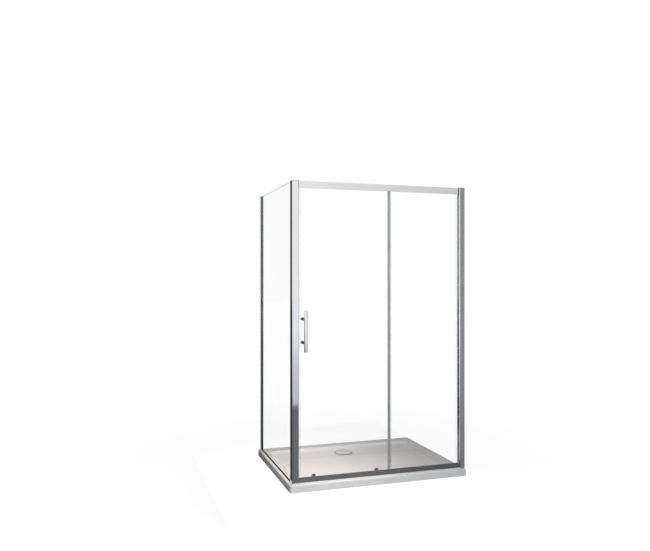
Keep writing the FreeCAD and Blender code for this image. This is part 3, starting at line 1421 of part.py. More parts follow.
def make_guides():
    """Housings behind the foot of the door glass, each with a sprung plunger and a bottom wheel."""
    front, rear = plate_front, plate_front + s.guide_depth
    low, high = frame_low + s.guide_low, frame_low + s.guide_top
    window = frame_low + s.guide_window
    half, skin = s.guide_half_width, s.guide_wall
    ear_end = half + s.ear_reach
    plunger_front = front + skin + s.plunger_clearance
    plunger_rear = plunger_front + s.plunger_plate
    pin_end = s.guide_wheel_width / 2 + s.axle_head_gap
    stem_y = plunger_front + s.stem_from_plate
    wheel_middle = wheel_plane
    disc_front = wheel_middle - s.guide_wheel_width / 2
    shelf_low = guide_axle_height + s.guide_wheel_radius + s.shelf_gap
    shelf_high = shelf_low + s.shelf_thickness
    roof_low = high - s.guide_roof
    bolts = []
    for side, middle in zip(("left", "right"), hanger_middles):
        shell = box(f"guide_shell_{side}", (middle - half, middle + half), (front, rear), (low, high))
        ears = box(f"guide_ears_{side}", (middle - ear_end, middle + ear_end), (front, front + s.ear_thickness),
                   (low - s.ear_drop, low - s.ear_drop + s.ear_height))
        inside = (middle - half + skin, middle + half - skin)
        foot = low - s.ear_drop - 1
        room = box(f"guide_room_{side}", inside, (front + skin, rear - skin), (foot, roof_low))
        back = box(f"guide_back_{side}", inside, (rear - skin - 1, rear + 1), (foot, window))
        stem_hole = rod(f"guide_stem_hole_{side}", s.stem_radius + s.stem_clearance, "+Z",
                        (middle, stem_y, roof_low - 1), s.guide_roof + 2)
        ear_holes = [
            rod(f"ear_hole_{side}{n}", s.guide_bolt_radius + s.bolt_clearance, "+Y",
                (middle + sign * ear_middle, front - 1, guide_bolt_height), s.ear_thickness + 2)
            for n, sign in enumerate((-1, 1))
        ]
        outer = joined(f"guide_outer_{side}", [shell, ears])
        named(f"guide_body_{side}", cut(f"guide_body_{side}", outer, [room, back, stem_hole] + ear_holes))

        plate = box(f"plunger_plate_{side}", (middle - s.plunger_half_width, middle + s.plunger_half_width),
                    (plunger_front, plunger_rear), (low - s.shelf_gap, shelf_high))
        shelf = box(f"plunger_shelf_{side}", (middle - s.shelf_half_width, middle + s.shelf_half_width),
                    (plunger_front, stem_y + s.shelf_half_width), (shelf_low, shelf_high))
        pin = rod(f"plunger_pin_{side}", s.guide_axle_radius, "+Y", (middle, plunger_front, guide_axle_height),
                  wheel_middle + pin_end - plunger_front)
        pin_head = rod(f"plunger_pin_head_{side}", s.guide_axle_radius + s.pin_head, "+Y",
                       (middle, wheel_middle + pin_end, guide_axle_height), s.axle_head_thickness)
        knob_low = high + s.plunger_clearance
        knob_high = knob_low + s.pull_knob_height
        stem = turned(f"plunger_stem_{side}", [
            (0, shelf_low),
            (s.stem_radius, shelf_low),
            (s.stem_radius, knob_low),
            (s.pull_knob_radius, knob_low),
            (s.pull_knob_radius - s.knob_edge / 2, knob_high),
            (0, knob_high),
        ], "+Z", middle, stem_y, 0)
        named(f"guide_plunger_{side}", joined(f"guide_plunger_{side}", [plate, shelf, pin, pin_head, stem]))

        disc = wheel_section(s.guide_axle_radius + s.running_fit, s.guide_wheel_radius, s.guide_wheel_width,
                             s.guide_groove_depth)
        named(f"bottom_wheel_{side}", turned(f"bottom_wheel_{side}", disc, "+Y", middle, disc_front,
                                             guide_axle_height))
        named(f"guide_spring_{side}", coil(f"guide_spring_{side}", middle, stem_y, shelf_high, roof_low))
        for sign in (-1, 1):
            bolts.append(turned(f"guide_bolt_{side}{sign + 1}", [
                (0, -s.bolt_head_thickness),
                (s.guide_bolt_head_radius, -s.bolt_head_thickness),
                (s.guide_bolt_head_radius, 0),
                (s.guide_bolt_radius, 0),
                (s.guide_bolt_radius, front + s.ear_thickness - door_front),
                (0, front + s.ear_thickness - door_front),
            ], "+Y", middle + sign * ear_middle, door_front, guide_bolt_height))
    named("guide_bolts", group("guide_bolts", bolts))


def coil(name, x, y, low, high):
    """A compression spring between two seats, as a sleeve with one ridge for each turn."""
    inner, outer = s.spring_radius - s.spring_wire_radius, s.spring_radius + s.spring_wire_radius
    foot, top = low + s.spring_clearance, high - s.spring_clearance
    turns = int(s.spring_turns.value)
    pitch = (top - foot) / turns
    outline = [(inner, foot), (s.spring_radius, foot)]
    for turn in range(turns):
        outline += [(outer, foot + pitch * (turn + 0.5)), (s.spring_radius, foot + pitch * (turn + 1))]
    outline.append((inner, top))
    return turned(name, outline, "+Z", x, y, 0)


# ------------------------------------------------------------------------------------------------
# Build, check and write
# ------------------------------------------------------------------------------------------------

def build():
    make_tray()
    make_waste()
    make_corner_post()
    make_top_rail()
    make_bottom_rail()
    make_frame_screws()
    make_track_stops()
    adjust_x, heights = make_right_side()
    side_face, side_screw_y, side = make_side_panel()
    stile_end = make_fixed_panel()
    make_gaskets(stile_end, side)
    make_adjustment(adjust_x, heights, side_face, side_screw_y)
    make_door_glass()
    make_door_seals()
    make_handle()
    make_hangers()
    make_guides()
    doc.recompute()


def check():
    for thing in doc.Objects:
        if "Invalid" in thing.State or "Error" in thing.State:
            raise RuntimeError(f"{thing.Label} did not build: {thing.State}")
    for name, thing in pieces.items():
        shape = thing.Shape
        if shape.isNull() or not shape.isValid() or not shape.Solids:
            raise RuntimeError(f"{name} has no valid solid")


def write():
    os.makedirs("parts", exist_ok=True)
    for name, thing in sorted(pieces.items()):
        thing.Shape.exportStep(os.path.join("parts", f"{name}.step"))
        box_of = thing.Shape.BoundBox
        print(f"{name:24s} {len(thing.Shape.Solids)} solids  {box_of.XLength:8.1f} {box_of.YLength:8.1f} "
              f"{box_of.ZLength:8.1f}")


build()
check()
write()
print(f"{len(pieces)} pieces")
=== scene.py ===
"""Looks, small fittings and studio for a shower enclosure with a sliding door.

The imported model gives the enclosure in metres: X along the front to the right, Y back into the
shower, Z up. Every node gets a finish here. Fuller pieces stand for the tray's shell, the screw
covers, the handle's bar and knobs, the wheels, bearings and axles, and the bolts and springs of the
hangers and guides. A studio with the photograph's viewing angle is set around it.
"""

import json
import logging
import math
from dataclasses import dataclass, replace
from enum import Enum
from typing import Any, Dict, Iterable, List, Optional, Sequence, Tuple, Union

import bmesh
import bpy
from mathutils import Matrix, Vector

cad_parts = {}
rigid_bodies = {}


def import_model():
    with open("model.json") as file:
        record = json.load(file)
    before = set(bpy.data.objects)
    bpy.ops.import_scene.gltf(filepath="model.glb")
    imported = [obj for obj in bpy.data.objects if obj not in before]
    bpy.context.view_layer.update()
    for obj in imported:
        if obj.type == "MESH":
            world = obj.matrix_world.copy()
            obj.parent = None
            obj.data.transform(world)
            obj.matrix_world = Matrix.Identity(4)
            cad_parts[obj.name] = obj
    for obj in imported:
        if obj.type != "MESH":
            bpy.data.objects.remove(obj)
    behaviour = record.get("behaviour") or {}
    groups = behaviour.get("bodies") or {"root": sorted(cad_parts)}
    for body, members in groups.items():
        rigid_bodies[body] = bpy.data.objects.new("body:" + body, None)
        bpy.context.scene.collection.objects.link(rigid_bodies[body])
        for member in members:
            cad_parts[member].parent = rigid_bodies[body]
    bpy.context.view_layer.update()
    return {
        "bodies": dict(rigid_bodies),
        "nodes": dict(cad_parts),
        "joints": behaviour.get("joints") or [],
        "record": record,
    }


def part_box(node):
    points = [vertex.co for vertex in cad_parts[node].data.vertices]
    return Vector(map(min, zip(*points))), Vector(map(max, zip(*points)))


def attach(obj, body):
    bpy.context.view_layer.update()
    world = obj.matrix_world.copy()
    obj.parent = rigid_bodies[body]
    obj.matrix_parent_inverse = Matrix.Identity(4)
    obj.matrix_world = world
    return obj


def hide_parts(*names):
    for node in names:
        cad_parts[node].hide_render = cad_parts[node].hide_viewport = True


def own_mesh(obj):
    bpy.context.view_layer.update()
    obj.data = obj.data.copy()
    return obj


log = logging.getLogger("enclosure")

MM = 0.001
Colour = Tuple[float, float, float]
Point = Tuple[float, float, float]
OutlinePoint = Tuple[float, ...]
Value = Union["Signal", float, Sequence[float]]


def even(value: float) -> Point:
    """One value three times: a grey, or a scale that is the same in each direction."""
    return value, value, value


def scaled(colour: Colour, factor: float) -> Colour:
    """A colour with each channel times a factor."""
    return tuple(factor * channel for channel in colour)


class Axis(Enum):
    """Directions of the frame."""

    X = 0
    Y = 1
    Z = 2

    def vector(self) -> Vector:
        """Unit vector along the axis."""
        return Vector([1.0 if index == self.value else 0.0 for index in range(3)])

    def stretch(self, along: float, across: float) -> Point:
        """Scale with one value along the axis and another across it."""
        return tuple(along if index == self.value else across for index in range(3))


class Side(Enum):
    """The two sides of the door, as the nodes' names end."""

    LEFT = "left"
    RIGHT = "right"


# ------------------------------------------------------------------------------------------------
# Shader maths
# ------------------------------------------------------------------------------------------------


class Signal:
    """A shader socket that Python's arithmetic turns into Math nodes."""

    def __init__(self, graph: "Graph", socket: bpy.types.NodeSocket) -> None:
        """Keeps the socket and the graph that it belongs to."""
        self.graph = graph
        self.socket = socket

    def __getitem__(self, name: Union[str, int]) -> "Signal":
        """Another output of the same node."""
        return Signal(self.graph, self.socket.node.outputs[name])

    def _math(self, operation: str, *terms: Value) -> "Signal":
        """A Math node on these terms."""
        return self.graph.make("ShaderNodeMath", {"operation": operation}, dict(enumerate(terms)))

    def __add__(self, other: Value) -> "Signal":
        """self + other."""
        return self._math("ADD", self, other)

    __radd__ = __add__

    def __sub__(self, other: Value) -> "Signal":
        """self - other."""
        return self._math("SUBTRACT", self, other)

    def __rsub__(self, other: Value) -> "Signal":
        """other - self."""
        return self._math("SUBTRACT", other, self)

    def __mul__(self, other: Value) -> "Signal":
        """self * other."""
        return self._math("MULTIPLY", self, other)

    __rmul__ = __mul__

    def __truediv__(self, other: Value) -> "Signal":
        """self / other."""
        return self._math("DIVIDE", self, other)

    def __abs__(self) -> "Signal":
        """Absolute value."""
        return self._math("ABSOLUTE", self)

    def __lt__(self, other: Value) -> "Signal":
        """1 where self is below other, else 0."""
        return self._math("LESS_THAN", self, other)

    def most(self, other: Value) -> "Signal":
        """The larger of two signals."""
        return self._math("MAXIMUM", self, other)

    def power(self, exponent: Value) -> "Signal":
        """self raised to an exponent."""
        return self._math("POWER", self, exponent)

    def angle(self, other: Value) -> "Signal":
        """Angle of the point (other, self) in radians."""
        return self._math("ARCTAN2", self, other)

    def between(self, low: float, high: float, start: float = 0.0, end: float = 1.0) -> "Signal":
        """Smooth step from start to end while self goes from low to high."""
        return self.graph.make(
            "ShaderNodeMapRange",
            {"interpolation_type": "SMOOTHSTEP"},
            {"Value": self, "From Min": low, "From Max": high, "To Min": start, "To Max": end},
        )


class Graph:
    """The node tree of one material or world, with a single method that makes any node."""

    def __init__(self, tree: bpy.types.NodeTree) -> None:
        """Empties the tree and keeps it."""
        tree.nodes.clear()
        self.tree = tree

    def make(
        self,
        kind: str,
        settings: Optional[Dict[str, Any]] = None,
        sockets: Optional[Dict[Union[str, int], Value]] = None,
        output: Union[str, int] = 0,
    ) -> Optional[Signal]:
        """Makes one node.

        Args:
            kind: The node's type.
            settings: Its properties, with a ramp's stops as pairs of place and colour.
            sockets: Values or signals for its inputs, by name or number.
            output: The output that the caller wants.

        Returns:
            That output as a signal, or None for a node without outputs.
        """
        node = self.tree.nodes.new(kind)
        for name, value in (settings or {}).items():
            if name == "stops":
                self._set_stops(node.color_ramp, value)
            else:
                setattr(node, name, value)
        for name, value in (sockets or {}).items():
            if isinstance(value, Signal):
                self.tree.links.new(value.socket, node.inputs[name])
            else:
                node.inputs[name].default_value = value
        return Signal(self, node.outputs[output]) if len(node.outputs) else None

    @staticmethod
    def _set_stops(ramp: bpy.types.ColorRamp, stops: Sequence[Tuple[float, Colour]]) -> None:
        """Gives a colour ramp its stops.

        Args:
            ramp: The ramp.
            stops: Pairs of place and colour, in order.
        """
        while len(ramp.elements) < len(stops):
            ramp.elements.new(1.0)
        for element, (place, colour) in zip(ramp.elements, stops):
            element.position = place
            element.color = (*colour, 1.0)

    def place(self) -> Signal:
        """Position on the piece, in metres."""
        return self.make("ShaderNodeTexCoord", output="Object")

    def facing(self) -> Signal:
        """Components of the piece's own surface normal."""
        normal = self.make("ShaderNodeTexCoord", output="Normal")
        return self.make("ShaderNodeSeparateXYZ", sockets={0: normal})

    def grain(self, scale: Point, detail: float = 2.0, warp: float = 0.0) -> Signal:
        """Noise between 0 and 1.

        Args:
            scale: Cells per metre in each direction.
            detail: How many finer layers it has.
            warp: How far the noise is bent.

        Returns:
            The noise.
        """
        spread = self.make("ShaderNodeMapping", sockets={"Vector": self.place(), "Scale": scale})
        return self.make(
            "ShaderNodeTexNoise",
            sockets={"Vector": spread, "Scale": 1.0, "Detail": detail, "Distortion": warp},
        )

    def tint(self, factor: Value, first: Value, second: Value) -> Signal:
        """Mixes two colours.

        Args:
            factor: 0 for the first colour and 1 for the second.
            first: A colour or a signal.
            second: Another.

        Returns:
            The mixed colour.
        """
        first, second = (
            (*colour, 1.0) if isinstance(colour, tuple) else colour for colour in (first, second)
        )
        return self.make(
            "ShaderNodeMix", {"data_type": "RGBA"}, {0: factor, 6: first, 7: second}, output=2
        )

    def relief(
        self, height: Value, depth: float, edge: float = 0.0, under: Optional[Signal] = None
    ) -> Signal:
        """Normal for a relief.

        Args:
            height: Height between 0 and 1.
            depth: Height of the relief in metres.
            edge: Radius at which sharp edges look rounded, in metres.
            under: A normal on which the relief is laid.

        Returns:
            The normal.
        """
        sockets: Dict[Union[str, int], Value] = {
            "Height": height, "Distance": depth, "Strength": 1.0,
        }
        if edge:
            under = self.make("ShaderNodeBevel", {"samples": 6}, {"Radius": edge})
        if under:
            sockets["Normal"] = under
        return self.make("ShaderNodeBump", sockets=sockets)

    def principled(self, **sockets: Value) -> Signal:
        """The surface shader, with underscores for the spaces in its sockets' names."""
        return self.make(
            "ShaderNodeBsdfPrincipled",
            sockets={name.replace("_", " "): value for name, value in sockets.items()},
        )


# ------------------------------------------------------------------------------------------------
# Finishes
# ------------------------------------------------------------------------------------------------


@dataclass(frozen=True)
class Finish:
    """A surface finish that draws its own nodes."""

    title: str

    def draw(self, graph: Graph) -> Signal:
        """Draws the finish.

        Args:
            graph: The material's graph.

        Returns:
            The shader.
        """
        raise NotImplementedError

    def material(self) -> bpy.types.Material:
        """Makes the Blender material on first use.

        Returns:
            The material, named after the finish and its axis.
        """
        axes = (value.name.lower() for value in vars(self).values() if isinstance(value, Axis))
        name = "_".join([self.title, *axes])
        found = bpy.data.materials.get(name)
        if found:
            return found
        material = bpy.data.materials.new(name)
        material.use_nodes = True
        graph = Graph(material.node_tree)
        graph.make("ShaderNodeOutputMaterial", sockets={"Surface": self.draw(graph)})
        return material


@dataclass(frozen=True)
class DrawnMetal(Finish):
    """Extruded or drawn metal, with fine die lines along one axis and rounded arrises."""

    along: Axis = Axis.Z
    colour: Colour = (0.83, 0.835, 0.845)
    roughness: float = 0.07
    line_depth: float = 0.000004
    line_pitch: float = 0.0012
    wave_depth: float = 0.00004
    edge: float = 0.0007
    metallic: float = 1.0

    def draw(self, graph: Graph) -> Signal:
        """Draws die lines, a slow wave, handling haze and softened edges.

        Args:
            graph: The material's graph.

        Returns:
            The shader.
        """
        lines = graph.grain(self.along.stretch(0.8, 1.0 / self.line_pitch), detail=3.0)
        bands = graph.grain(self.along.stretch(0.3, 45.0), detail=1.0)
        wave = graph.grain(self.along.stretch(2.5, 14.0), detail=1.0)
        haze = graph.grain(even(9.0), detail=4.0, warp=0.4).between(0.45, 0.8)
        deep = scaled(self.colour, 0.94)
        colour = graph.tint(bands * 0.6 + lines * 0.4, deep, self.colour)
        roughness = self.roughness * (0.75 + lines * 0.35 + bands * 0.15 + haze * 0.5)
        slow = graph.relief(wave, self.wave_depth, edge=self.edge)
        normal = graph.relief(lines, self.line_depth, under=slow)
        return graph.principled(
            Base_Color=colour, Metallic=self.metallic, Roughness=roughness, Normal=normal, IOR=1.45
        )


@dataclass(frozen=True)
class PlatedMetal(Finish):
    """Mirror plating on a turned or cast piece."""

    colour: Colour = (0.86, 0.865, 0.875)
    roughness: float = 0.035

    def draw(self, graph: Graph) -> Signal:
        """Draws a faint ripple of the metal underneath and light wiping marks.

        Args:
            graph: The material's graph.

        Returns:
            The shader.
        """
        ripple = graph.grain(even(70.0), detail=2.0)
        wiping = graph.grain((900.0, 900.0, 60.0), detail=2.0, warp=0.6)
        patches = graph.grain(even(30.0), detail=3.0).between(0.4, 0.75)
        colour = graph.tint(patches, self.colour, scaled(self.colour, 0.97))
        roughness = self.roughness * (0.8 + wiping * 0.5 + patches * 0.7)
        normal = graph.relief(ripple, 0.000006, edge=0.0004)
        return graph.principled(Base_Color=colour, Metallic=1.0, Roughness=roughness, Normal=normal)


@dataclass(frozen=True)
class TurnedSteel(Finish):
    """Bright steel with the rings that a lathe leaves round its axis."""

    along: Axis = Axis.Y
    colour: Colour = (0.60, 0.60, 0.61)
    roughness: float = 0.26

    def draw(self, graph: Graph) -> Signal:
        """Draws rings along the axis and a slight stain scattered by noise.

        Args:
            graph: The material's graph.

        Returns:
            The shader.
        """
        rings = graph.grain(self.along.stretch(4500.0, 60.0), detail=2.0)
        stain = graph.grain(even(160.0), detail=3.0).between(0.4, 0.75)
        colour = graph.tint(stain * 0.5 + rings * 0.3, self.colour, scaled(self.colour, 0.8))
        roughness = self.roughness + rings * 0.12 + stain * 0.08
        normal = graph.relief(rings, 0.000006, edge=0.00025)
        return graph.principled(Base_Color=colour, Metallic=1.0, Roughness=roughness, Normal=normal)


@dataclass(frozen=True)
class SanitaryAcrylic(Finish):
    """White glossy tray, with a fine pebble grain on the basin's floor."""

    colour: Colour = (0.80, 0.795, 0.79)
    # Painted light: the cooler white of the outer side faces stands in for the cooler light on them.
    painted_side_light_colour: Colour = (0.80, 0.805, 0.82)
    grain_top: float = 0.029
    grain_inset: Tuple[float, float] = (0.52, 0.35)

    def draw(self, graph: Graph) -> Signal:
        """Draws the gloss, its slight orange peel, the grained floor, and painted cooler light on the outer
        sides.

        Args:
            graph: The material's graph.

        Returns:
            The shader.
        """
        spot = graph.make("ShaderNodeSeparateXYZ", sockets={0: graph.place()})
        inside = (abs(spot["X"]) < self.grain_inset[0]) * (abs(spot["Y"]) < self.grain_inset[1])
        floor = inside * spot["Z"].between(self.grain_top + 0.001, self.grain_top - 0.001)
        # Painted light: faces that don't face up, outside the basin, get a cooler white for the cooler
        # light falling on them.
        skirt = 1.0 - graph.facing()["Z"].between(0.2, 0.7)
        cloud = graph.grain(even(5.0), detail=3.0)
        warm = graph.tint(cloud, self.colour, scaled(self.colour, 0.975))
        colour = graph.tint(skirt * (1.0 - inside), warm, self.painted_side_light_colour)
        pebbles = graph.make(
            "ShaderNodeTexVoronoi",
            {"feature": "SMOOTH_F1"},
            {"Vector": graph.place(), "Scale": 420.0, "Smoothness": 0.6},
        )
        peel = graph.grain(even(160.0), detail=1.0)
        height = peel * 0.15 + pebbles * floor * 0.9
        normal = graph.relief(height, 0.00006, edge=0.0012)
        roughness = 0.15 + floor * 0.14 + cloud * 0.05
        return graph.principled(
            Base_Color=colour, Roughness=roughness, Normal=normal, IOR=1.49,
            Coat_Weight=0.25, Coat_Roughness=0.06,
        )


@dataclass(frozen=True)
class SafetyGlass(Finish):
    """Clear toughened pane: nearly unseen on its faces, green and bright in its ground edges."""

    across: Axis = Axis.Y
    colour: Colour = (0.975, 0.992, 0.985)
    edge_colour: Colour = (0.20, 0.36, 0.31)
    body: float = 0.12

    def draw(self, graph: Graph) -> Signal:
        """Draws clear faces, tinted edges, and the very slight wave of toughened glass.

        Args:
            graph: The material's graph.

        Returns:
            The shader.
        """
        face = abs(graph.facing()["XYZ"[self.across.value]]).between(0.55, 0.9)
        frost = graph.grain(even(600.0), detail=2.0)
        film = graph.grain((3.0, 3.0, 1.6), detail=4.0, warp=0.5).between(0.35, 0.75)
        edge = graph.tint(frost, self.edge_colour, scaled(self.edge_colour, 1.25))
        wave = graph.grain(even(2.2), detail=0.0)
        return graph.principled(
            Base_Color=graph.tint(face, edge, self.colour),
            Roughness=0.02 + (1.0 - face) * (0.16 + frost * 0.1) + film * 0.01,
            Alpha=1.0 - face * (1.0 - self.body) + film * face * 0.01,
            Normal=graph.relief(wave, 0.00012),
            IOR=1.5,
            Transmission_Weight=1.0,
        )


@dataclass(frozen=True)
class ClearSeal(Finish):
    """Soft clear extrusion, slightly milky, with fine lines along its length."""

    along: Axis = Axis.Z
    colour: Colour = (0.80, 0.83, 0.83)
    body: float = 0.08

    def draw(self, graph: Graph) -> Signal:
        """Draws the milkiness, the extrusion lines and a lighter lip.

        Args:
            graph: The material's graph.

        Returns:
            The shader.
        """
        lines = graph.grain(self.along.stretch(0.8, 1500.0), detail=2.0)
        milk = graph.grain(self.along.stretch(3.0, 90.0), detail=2.0)
        return graph.principled(
            Base_Color=graph.tint(milk, self.colour, (0.9, 0.92, 0.92)),
            Roughness=0.14 + lines * 0.12,
            Alpha=self.body + milk * 0.1,
            Normal=graph.relief(lines, 0.00001, edge=0.0003),
            Transmission_Weight=0.35,
            IOR=1.48,
        )


@dataclass(frozen=True)
class MouldedPlastic(Finish):
    """Injection moulded plastic with a fine spark-eroded grain."""

    colour: Colour = (0.2, 0.2, 0.2)
    roughness: float = 0.42
    grain_depth: float = 0.00002
    spread: float = 0.08

    def draw(self, graph: Graph) -> Signal:
        """Draws the eroded grain and the flow of colour in the moulding.

        Args:
            graph: The material's graph.

        Returns:
            The shader.
        """
        cells = graph.grain(even(1700.0), detail=2.0)
        flow = graph.grain((35.0, 35.0, 20.0), detail=2.0, warp=1.0)
        light = tuple(min(1.0, c * (1.0 + self.spread) + 0.004) for c in self.colour)
        dark = tuple(c * (1.0 - self.spread) for c in self.colour)
        return graph.principled(
            Base_Color=graph.tint(flow * 0.6 + cells * 0.4, dark, light),
            Roughness=self.roughness * (0.85 + cells * 0.3),
            Normal=graph.relief(cells, self.grain_depth, edge=0.0004),
            IOR=1.46,
        )


@dataclass(frozen=True)
class SoftRubber(Finish):
    """Black rubber with a dry bloom on it."""

    colour: Colour = (0.022, 0.022, 0.023)

    def draw(self, graph: Graph) -> Signal:
        """Draws the bloom and a matt skin.

        Args:
            graph: The material's graph.

        Returns:
            The shader.
        """
        bloom = graph.grain(even(120.0), detail=4.0).between(0.45, 0.8)
        skin = graph.grain(even(1200.0), detail=2.0)
        return graph.principled(
            Base_Color=graph.tint(bloom * 0.5, self.colour, (0.06, 0.06, 0.062)),
            Roughness=0.55 + bloom * 0.2 + skin * 0.1,
            Normal=graph.relief(skin, 0.00003, edge=0.0004),
            IOR=1.45,
        )


class Palette:
    """The enclosure's finishes, by what they are on."""

    def __init__(self) -> None:
        """Sets out every finish once."""
        self.tray = SanitaryAcrylic("tray_acrylic")
        self.front_glass = SafetyGlass("front_glass", across=Axis.Y, body=0.07)
        self.side_glass = SafetyGlass("side_glass", across=Axis.X, body=0.03)
        self.plating = PlatedMetal("handle_plating")
        # Painted reflection: a darker copy of the chrome, standing in for the dark surroundings that the
        # standoffs and inner knobs reflect.
        self.dark_reflection_plating = PlatedMetal("standoff_plating", colour=(0.3, 0.3, 0.305), roughness=0.06)
        self.sleeve_rubber = SoftRubber("black_rubber")
        self.grey_caps = MouldedPlastic("grey_caps", colour=(0.30, 0.305, 0.31), roughness=0.4)
        self.guide_grey = MouldedPlastic("guide_grey", colour=(0.20, 0.205, 0.21), roughness=0.38)
        self.black_plastic = MouldedPlastic("black_plastic", colour=(0.018, 0.018, 0.02), roughness=0.34)
        self.nylon = MouldedPlastic(
            "wheel_nylon", colour=(0.70, 0.69, 0.66), roughness=0.3, grain_depth=0.00001, spread=0.04
        )
        self.cover_plastic = MouldedPlastic(
            "waste_cover_plastic", colour=(0.78, 0.775, 0.77), roughness=0.24, grain_depth=0.000008,
            spread=0.02,
        )
        self.magnet = MouldedPlastic("magnet_strip", colour=(0.05, 0.045, 0.045), roughness=0.6)
        self.washer = ClearSeal("clear_washers", along=Axis.Y)

    @staticmethod
    def polished(along: Axis) -> DrawnMetal:
        """Bright polished aluminium drawn along an axis."""
        return DrawnMetal("polished_aluminium", along)

    @staticmethod
    def satin(along: Axis) -> DrawnMetal:
        """Satin anodised aluminium drawn along an axis."""
        return DrawnMetal(
            "satin_aluminium", along, colour=(0.36, 0.365, 0.372), roughness=0.36,
            line_depth=0.000012, line_pitch=0.0008, wave_depth=0.00002, metallic=0.5,
        )

    @classmethod
    def stile(cls, along: Axis) -> DrawnMetal:
        """Lighter satin of the stile on the fixed pane."""
        return replace(
            cls.satin(along), title="stile_aluminium", colour=(0.49, 0.495, 0.505), metallic=0.45
        )

    @staticmethod
    def pressed(along: Axis) -> DrawnMetal:
        """Brushed stainless sheet."""
        return DrawnMetal(
            "pressed_steel", along, colour=(0.55, 0.55, 0.555), roughness=0.3,
            line_depth=0.00001, line_pitch=0.0005, wave_depth=0.00003,
        )

    @staticmethod
    def turned(along: Axis) -> TurnedSteel:
        """Turned steel with its axis along one direction."""
        return TurnedSteel("turned_steel", along)

    @staticmethod
    def seal(along: Axis) -> ClearSeal:
        """Clear soft seal extruded along an axis."""
        return ClearSeal("clear_seal", along)


# ------------------------------------------------------------------------------------------------
# Forms
# ------------------------------------------------------------------------------------------------


class Form:
    """A mesh in the making: rings of points that are skinned one after another, in millimetres."""

    def __init__(self) -> None:
        """Starts with no points."""
        self.points: List[Point] = []
        self.faces: List[Tuple[int, ...]] = []

    def skin(self, rings: Sequence[Sequence[Point]], loop: bool = False) -> "Form":
        """Joins rings with quads.

        Args:
            rings: Closed rings that all have as many points.
            loop: True where the last ring joins the first again; otherwise both ends are closed.

        Returns:
            The form itself.
        """
        start, count = len(self.points), len(rings[0])
        for ring in rings:
            self.points.extend(ring)
        last = len(rings) if loop else len(rings) - 1
        for level in range(last):
            here, there = start + level * count, start + (level + 1) % len(rings) * count
            for i in range(count):
                j = (i + 1) % count
                self.faces.append((here + i, here + j, there + j, there + i))
        if not loop:
            end = start + (len(rings) - 1) * count
            for ring, first in ((rings[0], start), (rings[-1], end)):
                self.points.append(tuple(sum(values) / count for values in zip(*ring)))
                hub = len(self.points) - 1
                self.faces.extend((hub, first + i, first + (i + 1) % count) for i in range(count))
        return self

    def turned(
        self, at: Point, along: Axis, outline: Sequence[OutlinePoint], loop: bool = False, count: int = 72
    ) -> "Form":
        """Turns an outline about an axis.

        Args:
            at: Where the axis starts.
            along: Direction of the axis.
            outline: Radius and distance along the axis, and a number of flats where a ring isn't round.
            loop: True for a form with a bore.
            count: Points on each ring.

        Returns:
            The form itself.
        """
        side, up = (Axis((along.value + turn) % 3).vector() for turn in (1, 2))
        ahead, origin = along.vector(), Vector(at)
        rings = []
        for radius, distance, *flats in outline:
            ring = []
            for i in range(count):
                angle = math.tau * i / count
                reach = radius
                if flats:
                    half = math.pi / flats[0]
                    reach *= math.cos(half) / math.cos(angle % (2 * half) - half)
                spot = origin + side * reach * math.cos(angle) + up * reach * math.sin(angle)
                ring.append(tuple(spot + ahead * distance))
            rings.append(ring)
        return self.skin(rings, loop)

    def tube(self, path: Sequence[Vector], radius: float, count: int = 12) -> "Form":
        """Runs a round wire along a path.

        Args:
            path: Points along the wire's middle.
            radius: Radius of the wire.
            count: Points on each ring.

        Returns:
            The form itself.
        """
        rings = []
        for i, point in enumerate(path):
            ahead, behind = path[min(i + 1, len(path) - 1)], path[max(i - 1, 0)]
            course = (ahead - behind).normalized()
            side = course.cross(Axis.Z.vector()).normalized()
            up = side.cross(course)
            turns = [math.tau * k / count for k in range(count)]
            rings.append([
                tuple(point + (side * math.cos(turn) + up * math.sin(turn)) * radius) for turn in turns
            ])
        return self.skin(rings)

    def mesh(self, name: str, sharp: float = 32.0) -> bpy.types.Mesh:
        """Makes the mesh, in metres.

        Args:
            name: Its name.
            sharp: Angle in degrees from which an edge stays sharp.

        Returns:
            The mesh, with its faces turned outwards.
        """
        mesh = bpy.data.meshes.new(name)
        mesh.from_pydata([tuple(value * MM for value in point) for point in self.points], [], self.faces)
        shell = bmesh.new()
        shell.from_mesh(mesh)
        bmesh.ops.recalc_face_normals(shell, faces=shell.faces)
        shell.to_mesh(mesh)
        shell.free()
        mesh.shade_smooth()
        mesh.set_sharp_from_angle(angle=math.radians(sharp))
        return mesh


